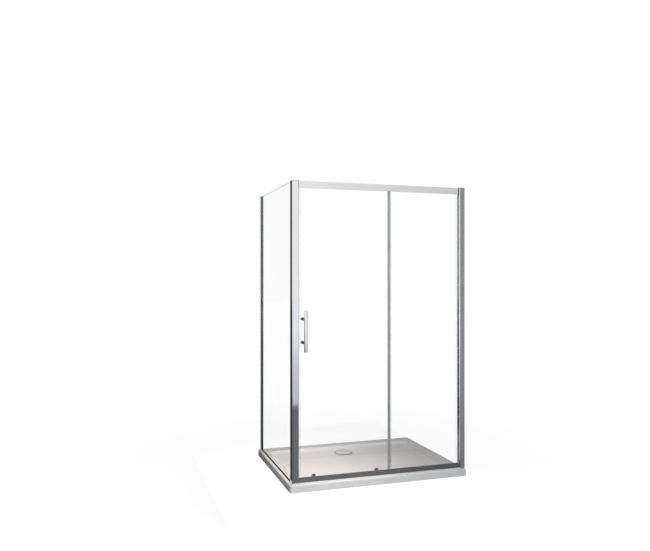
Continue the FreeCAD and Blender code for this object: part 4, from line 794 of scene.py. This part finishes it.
@dataclass(frozen=True)
class Plan:
    """A rounded rectangle or a circle in plan, whose rings can be skinned to those of any other."""

    half_x: float
    half_y: float
    radius: float
    x: float = 0.0
    y: float = 0.0
    side_points: int = 26
    corner_points: int = 14
    side_turn: float = 66.0

    def ring(self, z: float) -> List[Point]:
        """Points of a rounded rectangle.

        Args:
            z: Its height.

        Returns:
            The points, from the front right corner on.
        """
        reach_x, reach_y = self.half_x - self.radius, self.half_y - self.radius
        centres = (
            (reach_x, -reach_y), (reach_x, reach_y), (-reach_x, reach_y), (-reach_x, -reach_y),
        )
        arcs = []
        for corner, (cx, cy) in enumerate(centres):
            start = math.radians(90.0 * corner - 90.0)
            turns = [
                start + math.pi / 2 * step / self.corner_points for step in range(self.corner_points + 1)
            ]
            arcs.append([
                (self.x + cx + self.radius * math.cos(turn), self.y + cy + self.radius * math.sin(turn), z)
                for turn in turns
            ])
        points: List[Point] = []
        for corner, arc in enumerate(arcs):
            points.extend(arc)
            here, there = arc[-1], arcs[(corner + 1) % 4][0]
            for step in range(1, self.side_points):
                share = step / self.side_points
                points.append(tuple(a + (b - a) * share for a, b in zip(here, there)))
        return points

    def circle(self, z: float) -> List[Point]:
        """Points of a circle: those of a side take up side_turn degrees, those of a corner the rest.

        Args:
            z: Its height.

        Returns:
            As many points as a rounded rectangle has, in the same order.
        """
        narrow = 90.0 - self.side_turn
        points: List[Point] = []
        for corner in range(4):
            start = 90.0 * corner - 45.0 - narrow / 2
            turns = [
                start + narrow * step / self.corner_points for step in range(self.corner_points + 1)
            ]
            turns += [
                start + narrow + self.side_turn * step / self.side_points
                for step in range(1, self.side_points)
            ]
            points.extend(
                (self.x + self.radius * math.cos(math.radians(turn)),
                 self.y + self.radius * math.sin(math.radians(turn)), z)
                for turn in turns
            )
        return points


def blend_rings(first: Sequence[Point], last: Sequence[Point], steps: int) -> List[List[Point]]:
    """Lays rings between two others.

    Args:
        first: The ring before them.
        last: The ring after them, with as many points.
        steps: How many steps there are from first to last.

    Returns:
        The rings, without first or last.
    """
    return [
        [
            tuple(a + (b - a) * step / steps for a, b in zip(here, there))
            for here, there in zip(first, last)
        ]
        for step in range(1, steps)
    ]


def far_side(outline: Sequence[OutlinePoint], width: float) -> Tuple[OutlinePoint, ...]:
    """The mirrored second half of a turned outline of that width."""
    return tuple((radius, width - distance) for radius, distance in reversed(outline))


# ------------------------------------------------------------------------------------------------
# Sub-assemblies
# ------------------------------------------------------------------------------------------------


class Workshop:
    """Gives nodes their finishes and adds pieces to bodies."""

    def __init__(self, frame: Dict[str, Any]) -> None:
        """Opens the workshop.
        """
        self.nodes = frame["nodes"]
        self.palette = Palette()
        self.dressed: List[str] = []

    def dress(self, finish: Finish, *names: str) -> None:
        """Gives CAD nodes a finish in all their material slots.

        Args:
            finish: The finish.
            names: The nodes.
        """
        for name in names:
            for material_slot in self.nodes[name].material_slots:
                material_slot.material = finish.material()
            self.dressed.append(name)
            log.info("%s has %s", name, finish.title)

    def fit(
        self, name: str, form: Form, finish: Finish, body: str, slot: str, node: Optional[str] = None
    ) -> bpy.types.Object:
        """Adds a piece to a body.

        Args:
            name: The piece's name.
            form: Its form.
            finish: Its finish.
            body: The body that it rides on.
            slot: The record's material slot; not used.
            node: The CAD node that it stands for, if any.

        Returns:
            The new object.
        """
        piece = bpy.data.objects.new(name, form.mesh(name))
        piece.data.materials.append(finish.material())
        bpy.context.scene.collection.objects.link(piece)
        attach(piece, body)
        if node:
            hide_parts(node)
        log.info("%s rides on %s", name, body)
        return piece

    @staticmethod
    def span(node: str) -> Tuple[Vector, Vector, Vector]:
        """Lowest corner, highest corner and middle of a node's box, in millimetres."""
        low, high = (Vector(corner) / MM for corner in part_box(node))
        return low, high, (low + high) / 2


@dataclass
class SubAssembly:
    """A group of nodes and pieces that are dressed together.

    Sizes are in millimetres. An outline in capitals holds radii and distances along an axis, unless
    its class says otherwise.
    """

    workshop: Workshop

    def dress(self) -> None:
        """Gives the group's nodes their finishes."""
        raise NotImplementedError

    def fit(self) -> None:
        """Adds the group's own pieces, if it has any."""


@dataclass
class Tray(SubAssembly):
    """Shower tray, waste flange and loose waste cover.

    FOOT holds insets from the tray's outside, and LIP, BORE and SKIRT distances outwards from the
    recess, the hole and the cover's edge, each with a height. SEAL and GROMMET hold radii and heights.
    """

    half_length: float = 600.0
    half_width: float = 450.0
    corner_radius: float = 12.0
    rim_height: float = 45.0
    rim_round: float = 5.0
    basin_half_length: float = 548.0
    basin_half_width: float = 370.0
    basin_radius: float = 70.0
    cove_reach: float = 26.0
    cove_foot: float = 28.0
    cove_steps: int = 24
    floor_steps: int = 14
    recess_radius: float = 66.0
    hole_radius: float = 45.0
    finger_hole_offset: float = 12.0
    round_steps: int = 8

    FOOT = ((1.0, 0.0), (0.3, 0.3), (0.0, 1.0))
    LIP = ((1.5, 22.02), (0.6, 21.75), (0.1, 21.2), (0.0, 20.0), (0.0, 17.4), (-0.4, 17.0))
    BORE = ((0.4, 17.0), (0.0, 16.6), (0.0, 8.0))
    SEAL = (
        (60.4, 17.1), (65.2, 17.1), (65.6, 17.6), (65.2, 18.6), (63.6, 19.2), (61.0, 19.2), (60.4, 18.6),
    )
    SKIRT = ((-1.0, 22.6), (0.3, 22.6), (0.45, 23.2), (0.45, 26.6), (0.3, 27.2), (-1.0, 27.2))
    GROMMET = (
        (3.1, 26.2), (3.9, 26.2), (3.9, 28.45), (4.9, 28.45), (5.1, 28.7), (4.7, 28.95), (3.5, 28.95),
        (3.1, 28.6),
    )

    def dress(self) -> None:
        """White acrylic tray, steel flange, white cover."""
        shop, palette = self.workshop, self.workshop.palette
        shop.dress(palette.tray, "shower_tray")
        shop.dress(palette.turned(Axis.Z), "waste_flange")
        shop.dress(palette.cover_plastic, "waste_cover")

    def outside(self, inset: float) -> Plan:
        """Plan of the tray's outside, moved inwards."""
        return Plan(self.half_length - inset, self.half_width - inset, self.corner_radius - inset)

    def basin(self, inset: float) -> Plan:
        """Plan of the basin's edge, moved inwards."""
        return Plan(
            self.basin_half_length - inset, self.basin_half_width - inset, self.basin_radius - inset
        )

    def fit(self) -> None:
        """Smooth tray shell, the seal under the waste flange, and grey bands on the cover as painted shade.
        """
        self.form_shell()
        self.seal_and_shade_waste()

    def form_shell(self) -> None:
        """Forms the tray's shell: up its outside, over the rim, down the cove and into the waste."""
        shop = self.workshop
        _, _, waste = shop.span("waste_flange")

        def waste_ring(radius: float, z: float) -> List[Point]:
            """A circle about the waste's middle."""
            return Plan(radius, radius, radius, waste.x, waste.y).circle(z)

        side_top = self.rim_height - self.rim_round
        rings = [waste_ring(self.hole_radius, 0.0)]
        rings += [self.outside(inset).ring(z) for inset, z in self.FOOT]
        rings += [self.outside(0.0).ring(z) for z in (12.0, 26.0, side_top)]
        for step in range(1, self.round_steps + 1):
            turn = math.radians(90.0 * step / self.round_steps)
            plan = self.outside(self.rim_round * (1 - math.cos(turn)))
            rings.append(plan.ring(side_top + self.rim_round * math.sin(turn)))
        rings.append(self.outside(self.rim_round + 0.6).ring(self.rim_height))
        rings.append(self.basin(-3.0).ring(self.rim_height))
        depth = self.rim_height - self.cove_foot
        for step in range(self.cove_steps + 1):
            share = step / self.cove_steps
            drop = depth * (1 - math.cos(math.pi * share)) / 2
            rings.append(self.basin(self.cove_reach * share).ring(self.rim_height - drop))
        recess = [waste_ring(self.recess_radius + out, z) for out, z in self.LIP]
        rings += blend_rings(rings[-1], recess[0], self.floor_steps) + recess
        rings += [waste_ring(self.hole_radius + out, z) for out, z in self.BORE]
        shell = Form().skin(rings, loop=True)
        shop.fit("tray_shell", shell, shop.palette.tray, "enclosure", "tray", "shower_tray")

    def seal_and_shade_waste(self) -> None:
        """Lays the black seal and greys the cover's edge and finger holes: painted shade of the gaps."""
        shop = self.workshop
        _, _, waste = shop.span("waste_flange")
        # The black seal is a real part; it also darkens the gap under the cover, standing in for its
        # shadow.
        seal = Form().turned((waste.x, waste.y, 0.0), Axis.Z, self.SEAL, loop=True, count=120)
        shop.fit("waste_flange_seal", seal, shop.palette.sleeve_rubber, "enclosure", "rubber")

        _, top, cover = shop.span("waste_cover")
        edge = top.x - cover.x
        # Painted shade: the grey band round the white cover's edge and the grey rings in its finger holes
        # stand in for the shadow in the gap and the holes.
        skirt = [(edge + out, z) for out, z in self.SKIRT]
        shade_band = Form().turned((cover.x, cover.y, 0.0), Axis.Z, skirt, loop=True, count=120)
        for x in (-self.finger_hole_offset, self.finger_hole_offset):
            shade_band.turned((cover.x + x, cover.y, 0.0), Axis.Z, self.GROMMET, loop=True, count=36)
        shop.fit("waste_cover_trim", shade_band, shop.palette.grey_caps, "waste_cover", "grey_plastic")


@dataclass
class MetalFrame(SubAssembly):
    """Corner post, rails, upright and wall profiles with their caps and screws."""

    cap_radius: float = 6.0

    CUP = (
        (1.0, 3.5), (4.0, 3.5), (4.7, 3.1), (5.0, 2.4), (5.0, 0.15), (5.15, 0.0), (5.8, 0.0), (6.0, 0.25),
        (6.0, 2.6), (5.85, 3.3), (5.3, 4.0), (4.3, 4.4), (2.5, 4.5), (1.0, 4.5),
    )

    def dress(self) -> None:
        """Polished where the photograph is bright, satin at the walls."""
        shop, palette = self.workshop, self.workshop.palette
        shop.dress(palette.polished(Axis.Z), "corner_post", "fixed_upright")
        shop.dress(palette.polished(Axis.X), "top_rail", "bottom_rail", "sill_infill")
        shop.dress(palette.satin(Axis.Z), "wall_profile_right", "wall_profile_side")
        shop.dress(palette.polished(Axis.Z), "side_glazing_profile")
        shop.dress(palette.grey_caps, "corner_post_cap", "right_cap", "side_cap", "screw_cover_caps")
        shop.dress(palette.turned(Axis.X), "frame_screws", "adjustment_screws")
        shop.dress(palette.sleeve_rubber, "corner_buffer", "track_end_stops")
        shop.dress(palette.black_plastic, "rail_joint_cover")
        shop.dress(palette.seal(Axis.Z), "post_magnet_strip")
        shop.dress(palette.magnet, "post_magnet_core")

    def fit(self) -> None:
        """Moulded covers over the adjustment screws, with a rolled rim."""
        shop = self.workshop
        low, high, middle = shop.span("screw_cover_caps")
        _, profile, _ = shop.span("wall_profile_side")
        _, rail, _ = shop.span("top_rail")
        reach, form = self.cap_radius, Form()
        for height in (low.z + reach, middle.z, high.z - reach):
            form.turned((high.x - reach, rail.y, height), Axis.Y, self.CUP)
            form.turned((profile.x, high.y - reach, height), Axis.X, self.CUP)
        shop.fit(
            "screw_cover_mouldings", form, shop.palette.grey_caps, "enclosure", "grey_plastic",
            "screw_cover_caps",
        )


@dataclass
class FixedGlazing(SubAssembly):
    """Fixed front pane with its stile, side pane, and what beds them.

    LIP holds shares of the way from glass to profile, and how far the lip stands out there.
    """

    lip_gap: float = 0.05

    LIP = ((0.0, 2.4), (0.2, 3.1), (0.6, 2.9), (1.0, 1.4))

    def dress(self) -> None:
        """Clear panes, satin stile, dark bedding."""
        shop, palette = self.workshop, self.workshop.palette
        shop.dress(palette.front_glass, "fixed_glass")
        shop.dress(palette.side_glass, "side_glass")
        shop.dress(palette.stile(Axis.Z), "fixed_glass_stile")
        shop.dress(palette.seal(Axis.Z), "overlap_seal")
        shop.dress(palette.sleeve_rubber, "glazing_gaskets", "side_bottom_seal")
        shop.dress(palette.black_plastic, "setting_blocks")

    def fit(self) -> None:
        """Black lips of the wedge gaskets where the side pane enters its rear profile."""
        shop = self.workshop
        glass_low, glass_high, _ = shop.span("side_glass")
        profile_low, profile_high, _ = shop.span("side_glazing_profile")
        form, front = Form(), profile_low.y
        sides = (
            (glass_low.x - self.lip_gap, profile_low.x), (glass_high.x + self.lip_gap, profile_high.x),
        )
        for inner, outer in sides:
            outline = ((0.0, self.lip_gap), *self.LIP, (1.0, self.lip_gap))
            section = [(inner + (outer - inner) * share, front - proud) for share, proud in outline]
            form.skin([[(x, y, z) for x, y in section] for z in (glass_low.z, glass_high.z)])
        shop.fit("side_gasket_lips", form, shop.palette.sleeve_rubber, "enclosure", "rubber")


@dataclass
class Door(SubAssembly):
    """Sliding pane with its seals and handle."""

    knob_radius: float = 10.0

    BAR_END = ((1.0, 0.0), (8.6, 0.0), (9.7, 0.12), (10.4, 0.45), (10.85, 1.1))
    KNOB = (
        (3.1, 20.8), (3.1, 0.2), (3.3, 0.0), (9.6, 0.0), (10.0, 0.4), (10.0, 3.4), (9.8, 4.2), (8.9, 5.4),
        (8.0, 6.8), (7.6, 8.4), (7.6, 10.4), (8.0, 12.2), (8.9, 13.9), (9.8, 15.2), (10.0, 16.2),
        (10.0, 22.4), (9.8, 23.4), (9.2, 24.3), (8.0, 24.9), (6.0, 25.0),
    )

    def dress(self) -> None:
        """Clear pane, clear seals, plated handle."""
        shop, palette = self.workshop, self.workshop.palette
        shop.dress(palette.front_glass, "door_glass")
        shop.dress(palette.seal(Axis.Z), "door_magnet_seal", "door_trailing_seal")
        shop.dress(palette.magnet, "door_magnet_core")
        shop.dress(palette.plating, "handle_bar")
        # The standoffs and inner knobs take the chrome painted dark, a painted reflection.
        shop.dress(palette.dark_reflection_plating, "handle_standoffs", "handle_inner_knobs")
        shop.dress(palette.washer, "handle_washers")
        shop.dress(palette.turned(Axis.Y), "handle_bolts")

    def fit(self) -> None:
        """Turned handle bar and inner knobs with rolled edges."""
        shop = self.workshop
        low, high, middle = shop.span("handle_bar")
        radius, length = middle.x - low.x, high.z - low.z
        end = (*self.BAR_END, (radius, 2.0))
        bar = (*end, *((radius, length * share) for share in (0.25, 0.5, 0.75)), *far_side(end, length))
        form = Form().turned((middle.x, middle.y, low.z), Axis.Z, bar, count=96)
        shop.fit("handle_tube", form, shop.palette.plating, "door", "chrome", "handle_bar")

        low, high, middle = shop.span("handle_inner_knobs")
        form = Form()
        for height in (low.z + self.knob_radius, high.z - self.knob_radius):
            form.turned((middle.x, low.y, height), Axis.Y, self.KNOB)
        # Finished in the chrome painted dark, a painted reflection of dark surroundings.
        shop.fit(
            "handle_knobs_turned", form, shop.palette.dark_reflection_plating, "door", "chrome", "handle_inner_knobs"
        )


@dataclass
class RunningGear(SubAssembly):
    """Hangers and wheels at the top, sprung guides at the bottom.

    Each point of a spring lies at least coil_lift over the last, so that its flat ends still rise.
    """

    guide_bolt_offset: float = 17.75
    spring_turns: float = 5.0
    spring_wire: float = 0.35
    spring_points: int = 32
    flat_turns: float = 0.75
    spring_keep: float = 0.32
    coil_lift: float = 0.0001

    HALF_WHEEL = (
        (6.54, 0.3), (6.84, 0.0), (9.2, 0.0), (9.6, 0.25), (10.6, 0.25), (11.0, 0.0), (11.6, 0.0),
        (12.0, 0.4), (12.0, 1.4), (11.8, 1.7), (10.7, 1.8), (10.5, 1.95),
    )
    WHEEL = HALF_WHEEL + far_side(HALF_WHEEL, 6.0)
    HALF_BEARING = (
        (2.54, 0.3), (2.74, 0.0), (3.6, 0.0), (3.75, 0.3), (5.2, 0.4), (5.4, 0.0), (6.3, 0.0), (6.5, 0.2),
    )
    BEARING = HALF_BEARING + far_side(HALF_BEARING, 5.0)
    HALF_GUIDE_WHEEL = (
        (2.06, 0.25), (2.3, 0.0), (3.2, 0.0), (3.5, 0.35), (5.0, 0.35), (5.4, 0.0), (7.6, 0.0),
        (8.0, 0.35), (8.0, 1.0), (7.8, 1.25), (6.2, 1.3), (6.0, 1.45),
    )
    GUIDE_WHEEL = HALF_GUIDE_WHEEL + far_side(HALF_GUIDE_WHEEL, 5.0)
    AXLE = (
        (1.0, 0.0), (2.2, 0.0), (2.5, 0.2), (2.5, 3.0), (3.9, 3.02), (4.0, 3.15), (4.0, 3.6), (3.9, 3.7),
        (2.5, 3.72), (2.5, 10.3), (3.8, 10.3), (4.0, 10.5), (3.7, 10.9), (2.6, 11.2), (1.0, 11.3),
    )

    def dress(self) -> None:
        """Pressed steel hangers, nylon wheels, grey guide housings."""
        shop, palette = self.workshop, self.workshop.palette
        shop.dress(palette.pressed(Axis.X), "hanger_left", "hanger_right")
        shop.dress(palette.turned(Axis.Y), "hanger_axles", "hanger_bolts", "guide_bolts")
        shop.dress(palette.turned(Axis.Z), "guide_spring_left", "guide_spring_right")
        shop.dress(palette.guide_grey, "guide_body_left", "guide_body_right")
        shop.dress(palette.black_plastic, "guide_plunger_left", "guide_plunger_right")
        shop.dress(palette.nylon, "bottom_wheel_left", "bottom_wheel_right")
        for number in range(1, 5):
            shop.dress(palette.nylon, f"top_wheel_{number}")
            shop.dress(palette.turned(Axis.Y), f"top_bearing_{number}")

    @staticmethod
    def bolt(head: float, shank: float, length: float, key: float) -> List[OutlinePoint]:
        """Outline of a button-head bolt, from the front of its head.

        Args:
            head: Radius of the head.
            shank: Radius of the shank.
            length: Length over all.
            key: Corner radius of the hexagon socket.

        Returns:
            Radii and distances, with six flats in the socket.
        """
        return [
            (key * 0.5, 1.9), (key, 1.75, 6), (key, 0.15, 6), (key + 0.35, 0.0), (head * 0.72, 0.12),
            (head * 0.9, 0.7), (head * 0.985, 1.5), (head, 2.2), (head, 3.0), (shank, 3.0),
            (shank, length - 0.5), (shank - 0.5, length),
        ]

    def fit(self) -> None:
        """Moulded wheels, bearings, riveted axles, socket bolts and wound springs."""
        self.hang_wheels()
        self.fit_guides()

    def hang_wheels(self) -> None:
        """Hangs the top wheels with their bearings on riveted axles."""
        shop, palette = self.workshop, self.workshop.palette
        plate, _, _ = shop.span("hanger_left")
        axles = Form()
        for number in range(1, 5):
            node, bearing = f"top_wheel_{number}", f"top_bearing_{number}"
            low, _, middle = shop.span(node)
            wheel = Form().turned((middle.x, low.y, middle.z), Axis.Y, self.WHEEL, loop=True, count=96)
            shop.fit(f"top_wheel_moulding_{number}", wheel, palette.nylon, node, "wheel", node)
            inner, _, _ = shop.span(bearing)
            race = Form().turned((middle.x, inner.y, middle.z), Axis.Y, self.BEARING, loop=True)
            shop.fit(f"bearing_races_{number}", race, palette.turned(Axis.Y), node, "steel", bearing)
            axles.turned((middle.x, plate.y, middle.z), Axis.Y, self.AXLE, count=48)
        shop.fit("riveted_axles", axles, palette.turned(Axis.Y), "door", "steel", "hanger_axles")

    def fit_guides(self) -> None:
        """Bolts the hangers and guides on, and gives each guide its wheel and spring."""
        shop, palette = self.workshop, self.workshop.palette
        hanger_bolts, guide_bolts = Form(), Form()
        head, end, level = shop.span("hanger_bolts")
        foot, tip, base = shop.span("guide_bolts")
        hanger_bolt = self.bolt(head=7.0, shank=4.0, length=end.y - head.y, key=2.9)
        guide_bolt = self.bolt(head=6.5, shank=3.0, length=tip.y - foot.y, key=2.4)
        for side in Side:
            _, _, hanger = shop.span(f"hanger_{side.value}")
            _, _, guide = shop.span(f"guide_body_{side.value}")
            hanger_bolts.turned((hanger.x, head.y, level.z), Axis.Y, hanger_bolt)
            for x in (-self.guide_bolt_offset, self.guide_bolt_offset):
                guide_bolts.turned((guide.x + x, foot.y, base.z), Axis.Y, guide_bolt)

            node = f"bottom_wheel_{side.value}"
            low, _, middle = shop.span(node)
            wheel = Form().turned((middle.x, low.y, middle.z), Axis.Y, self.GUIDE_WHEEL, loop=True)
            shop.fit(f"guide_wheel_moulding_{side.value}", wheel, palette.nylon, node, "wheel", node)
            self.wind_spring(side)
        steel = palette.turned(Axis.Y)
        shop.fit("hanger_socket_bolts", hanger_bolts, steel, "door", "steel", "hanger_bolts")
        shop.fit("guide_socket_bolts", guide_bolts, steel, "door", "steel", "guide_bolts")

    def wind_spring(self, side: Side) -> None:
        """Winds one compression spring, with its end coils lying flat.

        Args:
            side: The side of its guide.
        """
        shop, wire, turns = self.workshop, self.spring_wire, self.spring_turns
        node = f"guide_spring_{side.value}"
        low, high, middle = shop.span(node)
        radius = middle.x - low.x - wire
        bottom, rise = low.z + wire, high.z - low.z - 2 * wire
        path = []
        steps = int(turns * self.spring_points)
        for step in range(steps + 1):
            share = step / steps
            angle = math.tau * turns * share
            climb = (share * turns - self.flat_turns) / (turns - 2 * self.flat_turns)
            path.append(Vector((
                middle.x + radius * math.cos(angle), middle.y + radius * math.sin(angle),
                bottom + rise * min(1.0, max(0.0, climb)) + self.coil_lift * step,
            )))
        spring = shop.fit(
            f"guide_spring_wire_{side.value}", Form().tube(path, wire), shop.palette.turned(Axis.Z),
            "door", "steel", node,
        )
        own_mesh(spring)


# ------------------------------------------------------------------------------------------------
# Studio
# ------------------------------------------------------------------------------------------------


@dataclass(frozen=True)
class SoftLight:
    """One square area light."""

    name: str
    place: Point
    target: Point
    side: float
    power: float
    colour: Colour = (1.0, 1.0, 1.0)
    spread: float = 180.0

    def hang(self) -> None:
        """Puts the light up, unseen in reflections."""
        data = bpy.data.lights.new(self.name, "AREA")
        data.shape, data.size, data.energy, data.color = "SQUARE", self.side, self.power, self.colour
        data.spread = math.radians(self.spread)
        lamp = bpy.data.objects.new(self.name, data)
        lamp.location = self.place
        lamp.rotation_euler = (Vector(self.target) - Vector(self.place)).to_track_quat("-Z", "Y").to_euler()
        lamp.visible_glossy = False
        lamp.visible_camera = False
        bpy.context.scene.collection.objects.link(lamp)


@dataclass
class Studio:
    """Camera, floor, lights and flags, and the dark card and grey ring that metal reflects.

    Places are in metres. A flag is a name, its place along X, its two ends along Y and its height.
    RING holds places round the horizon, from 0 to 1, and how bright each looks in reflections.
    """

    camera_place: Point = (-1.6368, -4.2739, 1.3066)
    camera_turn: float = -17.417
    lens: float = 36.376
    sensor_width: float = 36.0
    shift: Tuple[float, float] = (0.01386, 0.00243)
    floor_half: float = 30.0
    floor_glow: float = 0.95
    floor_bounce: Tuple[float, float] = (0.6, 0.58)
    floor_shadow: float = 0.13
    front_reach: float = 0.425
    card_near: float = 0.165
    card_step: float = 0.52
    card_rise: float = 0.33
    card_aside: float = 0.55
    card_behind: float = 0.035
    world_top: float = 0.95
    world_fill: float = 0.12
    lights: Tuple[SoftLight, ...] = (
        SoftLight(
            "key_light", place=(-0.5, -4.6, 1.9), target=(0.0, 0.0, 0.3), side=3.0, power=108.0,
            colour=(0.93, 0.975, 1.0),
        ),
        SoftLight(
            "top_light", place=(-0.46, -0.3, 2.3), target=(-0.42, -0.28, 0.0), side=0.8, power=5.8,
            colour=(1.0, 0.92, 0.87), spread=52.0,
        ),
    )
    flags: Tuple[Tuple[str, float, float, float, float], ...] = (
        ("flag_right", 0.75, -0.3, 1.0, 1.5),
        ("flag_left", -1.05, -0.9, 1.0, 0.7),
    )

    RING = (
        (0.0, 0.045), (0.043, 0.05), (0.082, 0.3), (0.15, 0.75), (0.25, 0.95), (0.40, 0.90),
        (0.45, 0.97), (0.543, 0.96), (0.583, 0.70), (0.65, 0.45), (0.75, 0.70), (0.86, 0.9), (0.94, 0.4),
        (1.0, 0.045),
    )

    def set_camera(self) -> None:
        """Stands the camera where the photograph was taken from."""
        data = bpy.data.cameras.new("studio_camera")
        data.sensor_fit, data.sensor_width, data.lens = "HORIZONTAL", self.sensor_width, self.lens
        data.shift_x, data.shift_y = self.shift
        data.clip_end = 100.0
        camera = bpy.data.objects.new("studio_camera", data)
        camera.location = self.camera_place
        camera.rotation_euler = (math.radians(90.0), 0.0, math.radians(self.camera_turn))
        bpy.context.scene.collection.objects.link(camera)
        bpy.context.scene.camera = camera

    @staticmethod
    def _sheet(
        name: str, points: Sequence[Point], material: bpy.types.Material, unseen_by: Sequence[str] = ()
    ) -> None:
        """Puts up one four-sided sheet of the stage.

        Args:
            name: The sheet's name.
            points: Its corners in order.
            material: Its material.
            unseen_by: Kinds of ray that pass through it.
        """
        mesh = bpy.data.meshes.new(name)
        mesh.from_pydata(points, [], [(0, 1, 2, 3)])
        sheet = bpy.data.objects.new(name, mesh)
        bpy.context.scene.collection.objects.link(sheet)
        sheet.data.materials.append(material)
        for ray in unseen_by:
            setattr(sheet, f"visible_{ray}", False)

    def _level(self, z: float) -> List[Point]:
        """Corners of the whole stage at a height."""
        half = self.floor_half
        return [(-half, -half, z), (half, -half, z), (half, half, z), (-half, half, z)]

    def lay_floor(self) -> None:
        """Lays a pale floor that shows white and keeps a soft shadow."""
        material = bpy.data.materials.new("studio_floor")
        material.use_nodes = True
        graph = Graph(material.node_tree)
        ray = graph.make("ShaderNodeLightPath", output="Is Camera Ray")
        seen = ray.most(ray["Is Glossy Ray"]).most(ray["Is Transmission Ray"])
        cloud = graph.grain(even(0.6), detail=2.0)
        light, dark = map(even, self.floor_bounce)
        bounce = graph.make("ShaderNodeBsdfDiffuse", sockets={"Color": graph.tint(cloud, light, dark)})
        pale = graph.make("ShaderNodeBsdfDiffuse", sockets={"Color": (*even(self.floor_shadow), 1.0)})
        spot = graph.make("ShaderNodeSeparateXYZ", sockets={0: graph.place()})
        far = (spot["X"] * spot["X"] + spot["Y"] * spot["Y"]).power(0.5)
        white = graph.tint(far.between(0.9, 3.0), even(self.floor_glow), even(1.0))
        glow = graph.make("ShaderNodeEmission", sockets={"Color": white, "Strength": 1.0})
        shown = graph.make("ShaderNodeAddShader", sockets={0: pale, 1: glow})
        surface = graph.make("ShaderNodeMixShader", sockets={0: seen, 1: bounce, 2: shown})
        graph.make("ShaderNodeOutputMaterial", sockets={"Surface": surface})
        self._sheet("studio_floor", self._level(0.0), material)

    def lay_dark_card(self) -> None:
        """Lays a card just over the floor that only reflections see, darkest near the object."""
        material = bpy.data.materials.new("dark_card")
        material.use_nodes = True
        graph = Graph(material.node_tree)
        spot = graph.make("ShaderNodeSeparateXYZ", sockets={0: graph.place()})
        away = spot["Y"] * -1.0 - self.front_reach
        aside = (spot["X"] - away * 0.5).between(0.46, 0.56) * away.between(0.22, 0.4)
        near = self.card_near - spot["X"].between(-0.1, 0.55, 0.0, 0.06)
        step = away.between(2.58, 2.64, 0.0, self.card_step)
        rise = away.between(2.7, 11.0, 0.0, self.card_rise)
        front = (near + step + rise).most(aside * self.card_aside)
        behind = self.card_behind + spot["X"].between(-0.5, 1.5, 0.0, 0.3)
        back = spot["Y"].between(-0.5, -0.4)
        strength = front * (1.0 - back) + behind * back
        shade = graph.tint(strength, even(0.0), (0.98, 0.985, 1.04))
        glow = graph.make("ShaderNodeEmission", sockets={"Color": shade, "Strength": 1.0})
        graph.make("ShaderNodeOutputMaterial", sockets={"Surface": glow})
        unseen_by = ("camera", "diffuse", "transmission", "shadow", "volume_scatter")
        self._sheet("dark_card", self._level(0.001), material, unseen_by)

    def stand_flags(self) -> None:
        """Stands black flags beside the object that only shade it, as a wall at each side would."""
        material = bpy.data.materials.new("black_flag")
        material.use_nodes = True
        graph = Graph(material.node_tree)
        cloth = graph.make("ShaderNodeBsdfDiffuse", sockets={"Color": (*even(0.02), 1.0)})
        graph.make("ShaderNodeOutputMaterial", sockets={"Surface": cloth})
        unseen_by = ("camera", "glossy", "transmission", "volume_scatter")
        for name, x, low, high, tall in self.flags:
            points = [(x, low, 0.0), (x, high, 0.0), (x, high, tall), (x, low, tall)]
            self._sheet(name, points, material, unseen_by)

    def paint_world(self) -> None:
        """White surroundings, with soft grey zones that only reflections see."""
        world = bpy.data.worlds.new("studio_world")
        world.use_nodes = True
        bpy.context.scene.world = world
        graph = Graph(world.node_tree)
        ray = graph.make("ShaderNodeLightPath", output="Is Glossy Ray")
        white = ray["Is Camera Ray"].most(ray["Is Transmission Ray"])
        direction = graph.make("ShaderNodeTexCoord", output="Generated")
        away = graph.make("ShaderNodeSeparateXYZ", sockets={0: direction})
        turn = away["X"].angle(away["Y"] * -1.0) / math.tau + 0.5
        stops = [(place, even(shade)) for place, shade in self.RING]
        ring = graph.make("ShaderNodeValToRGB", {"stops": stops}, {"Fac": turn})
        high = away["Z"].between(0.25, 0.7)
        cards = graph.tint(high, ring, even(self.world_top))
        shown = graph.tint(ray, even(self.world_fill), cards)
        colour = graph.tint(white, shown, even(1.0))
        back = graph.make("ShaderNodeBackground", sockets={"Color": colour, "Strength": 1.0})
        graph.make("ShaderNodeOutputWorld", sockets={"Surface": back})

    def set_up(self) -> None:
        """Builds the whole studio."""
        self.set_camera()
        self.lay_floor()
        self.lay_dark_card()
        self.stand_flags()
        self.paint_world()
        for light in self.lights:
            light.hang()
        bpy.context.scene.view_settings.view_transform = "Standard"


def main() -> None:
    """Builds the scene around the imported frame."""
    logging.basicConfig(level=logging.INFO, format="%(name)s: %(message)s")
    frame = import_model()
    Studio().set_up()
    workshop = Workshop(frame)
    for group in (Tray, MetalFrame, FixedGlazing, Door, RunningGear):
        assembly = group(workshop)
        assembly.dress()
        assembly.fit()
        log.info("%s is done", group.__name__)
    missing = sorted(set(frame["nodes"]) - set(workshop.dressed))
    if missing:
        raise ValueError(f"nodes without a finish: {missing}")
    bpy.context.view_layer.update()


if __name__ == "__main__":
    main()
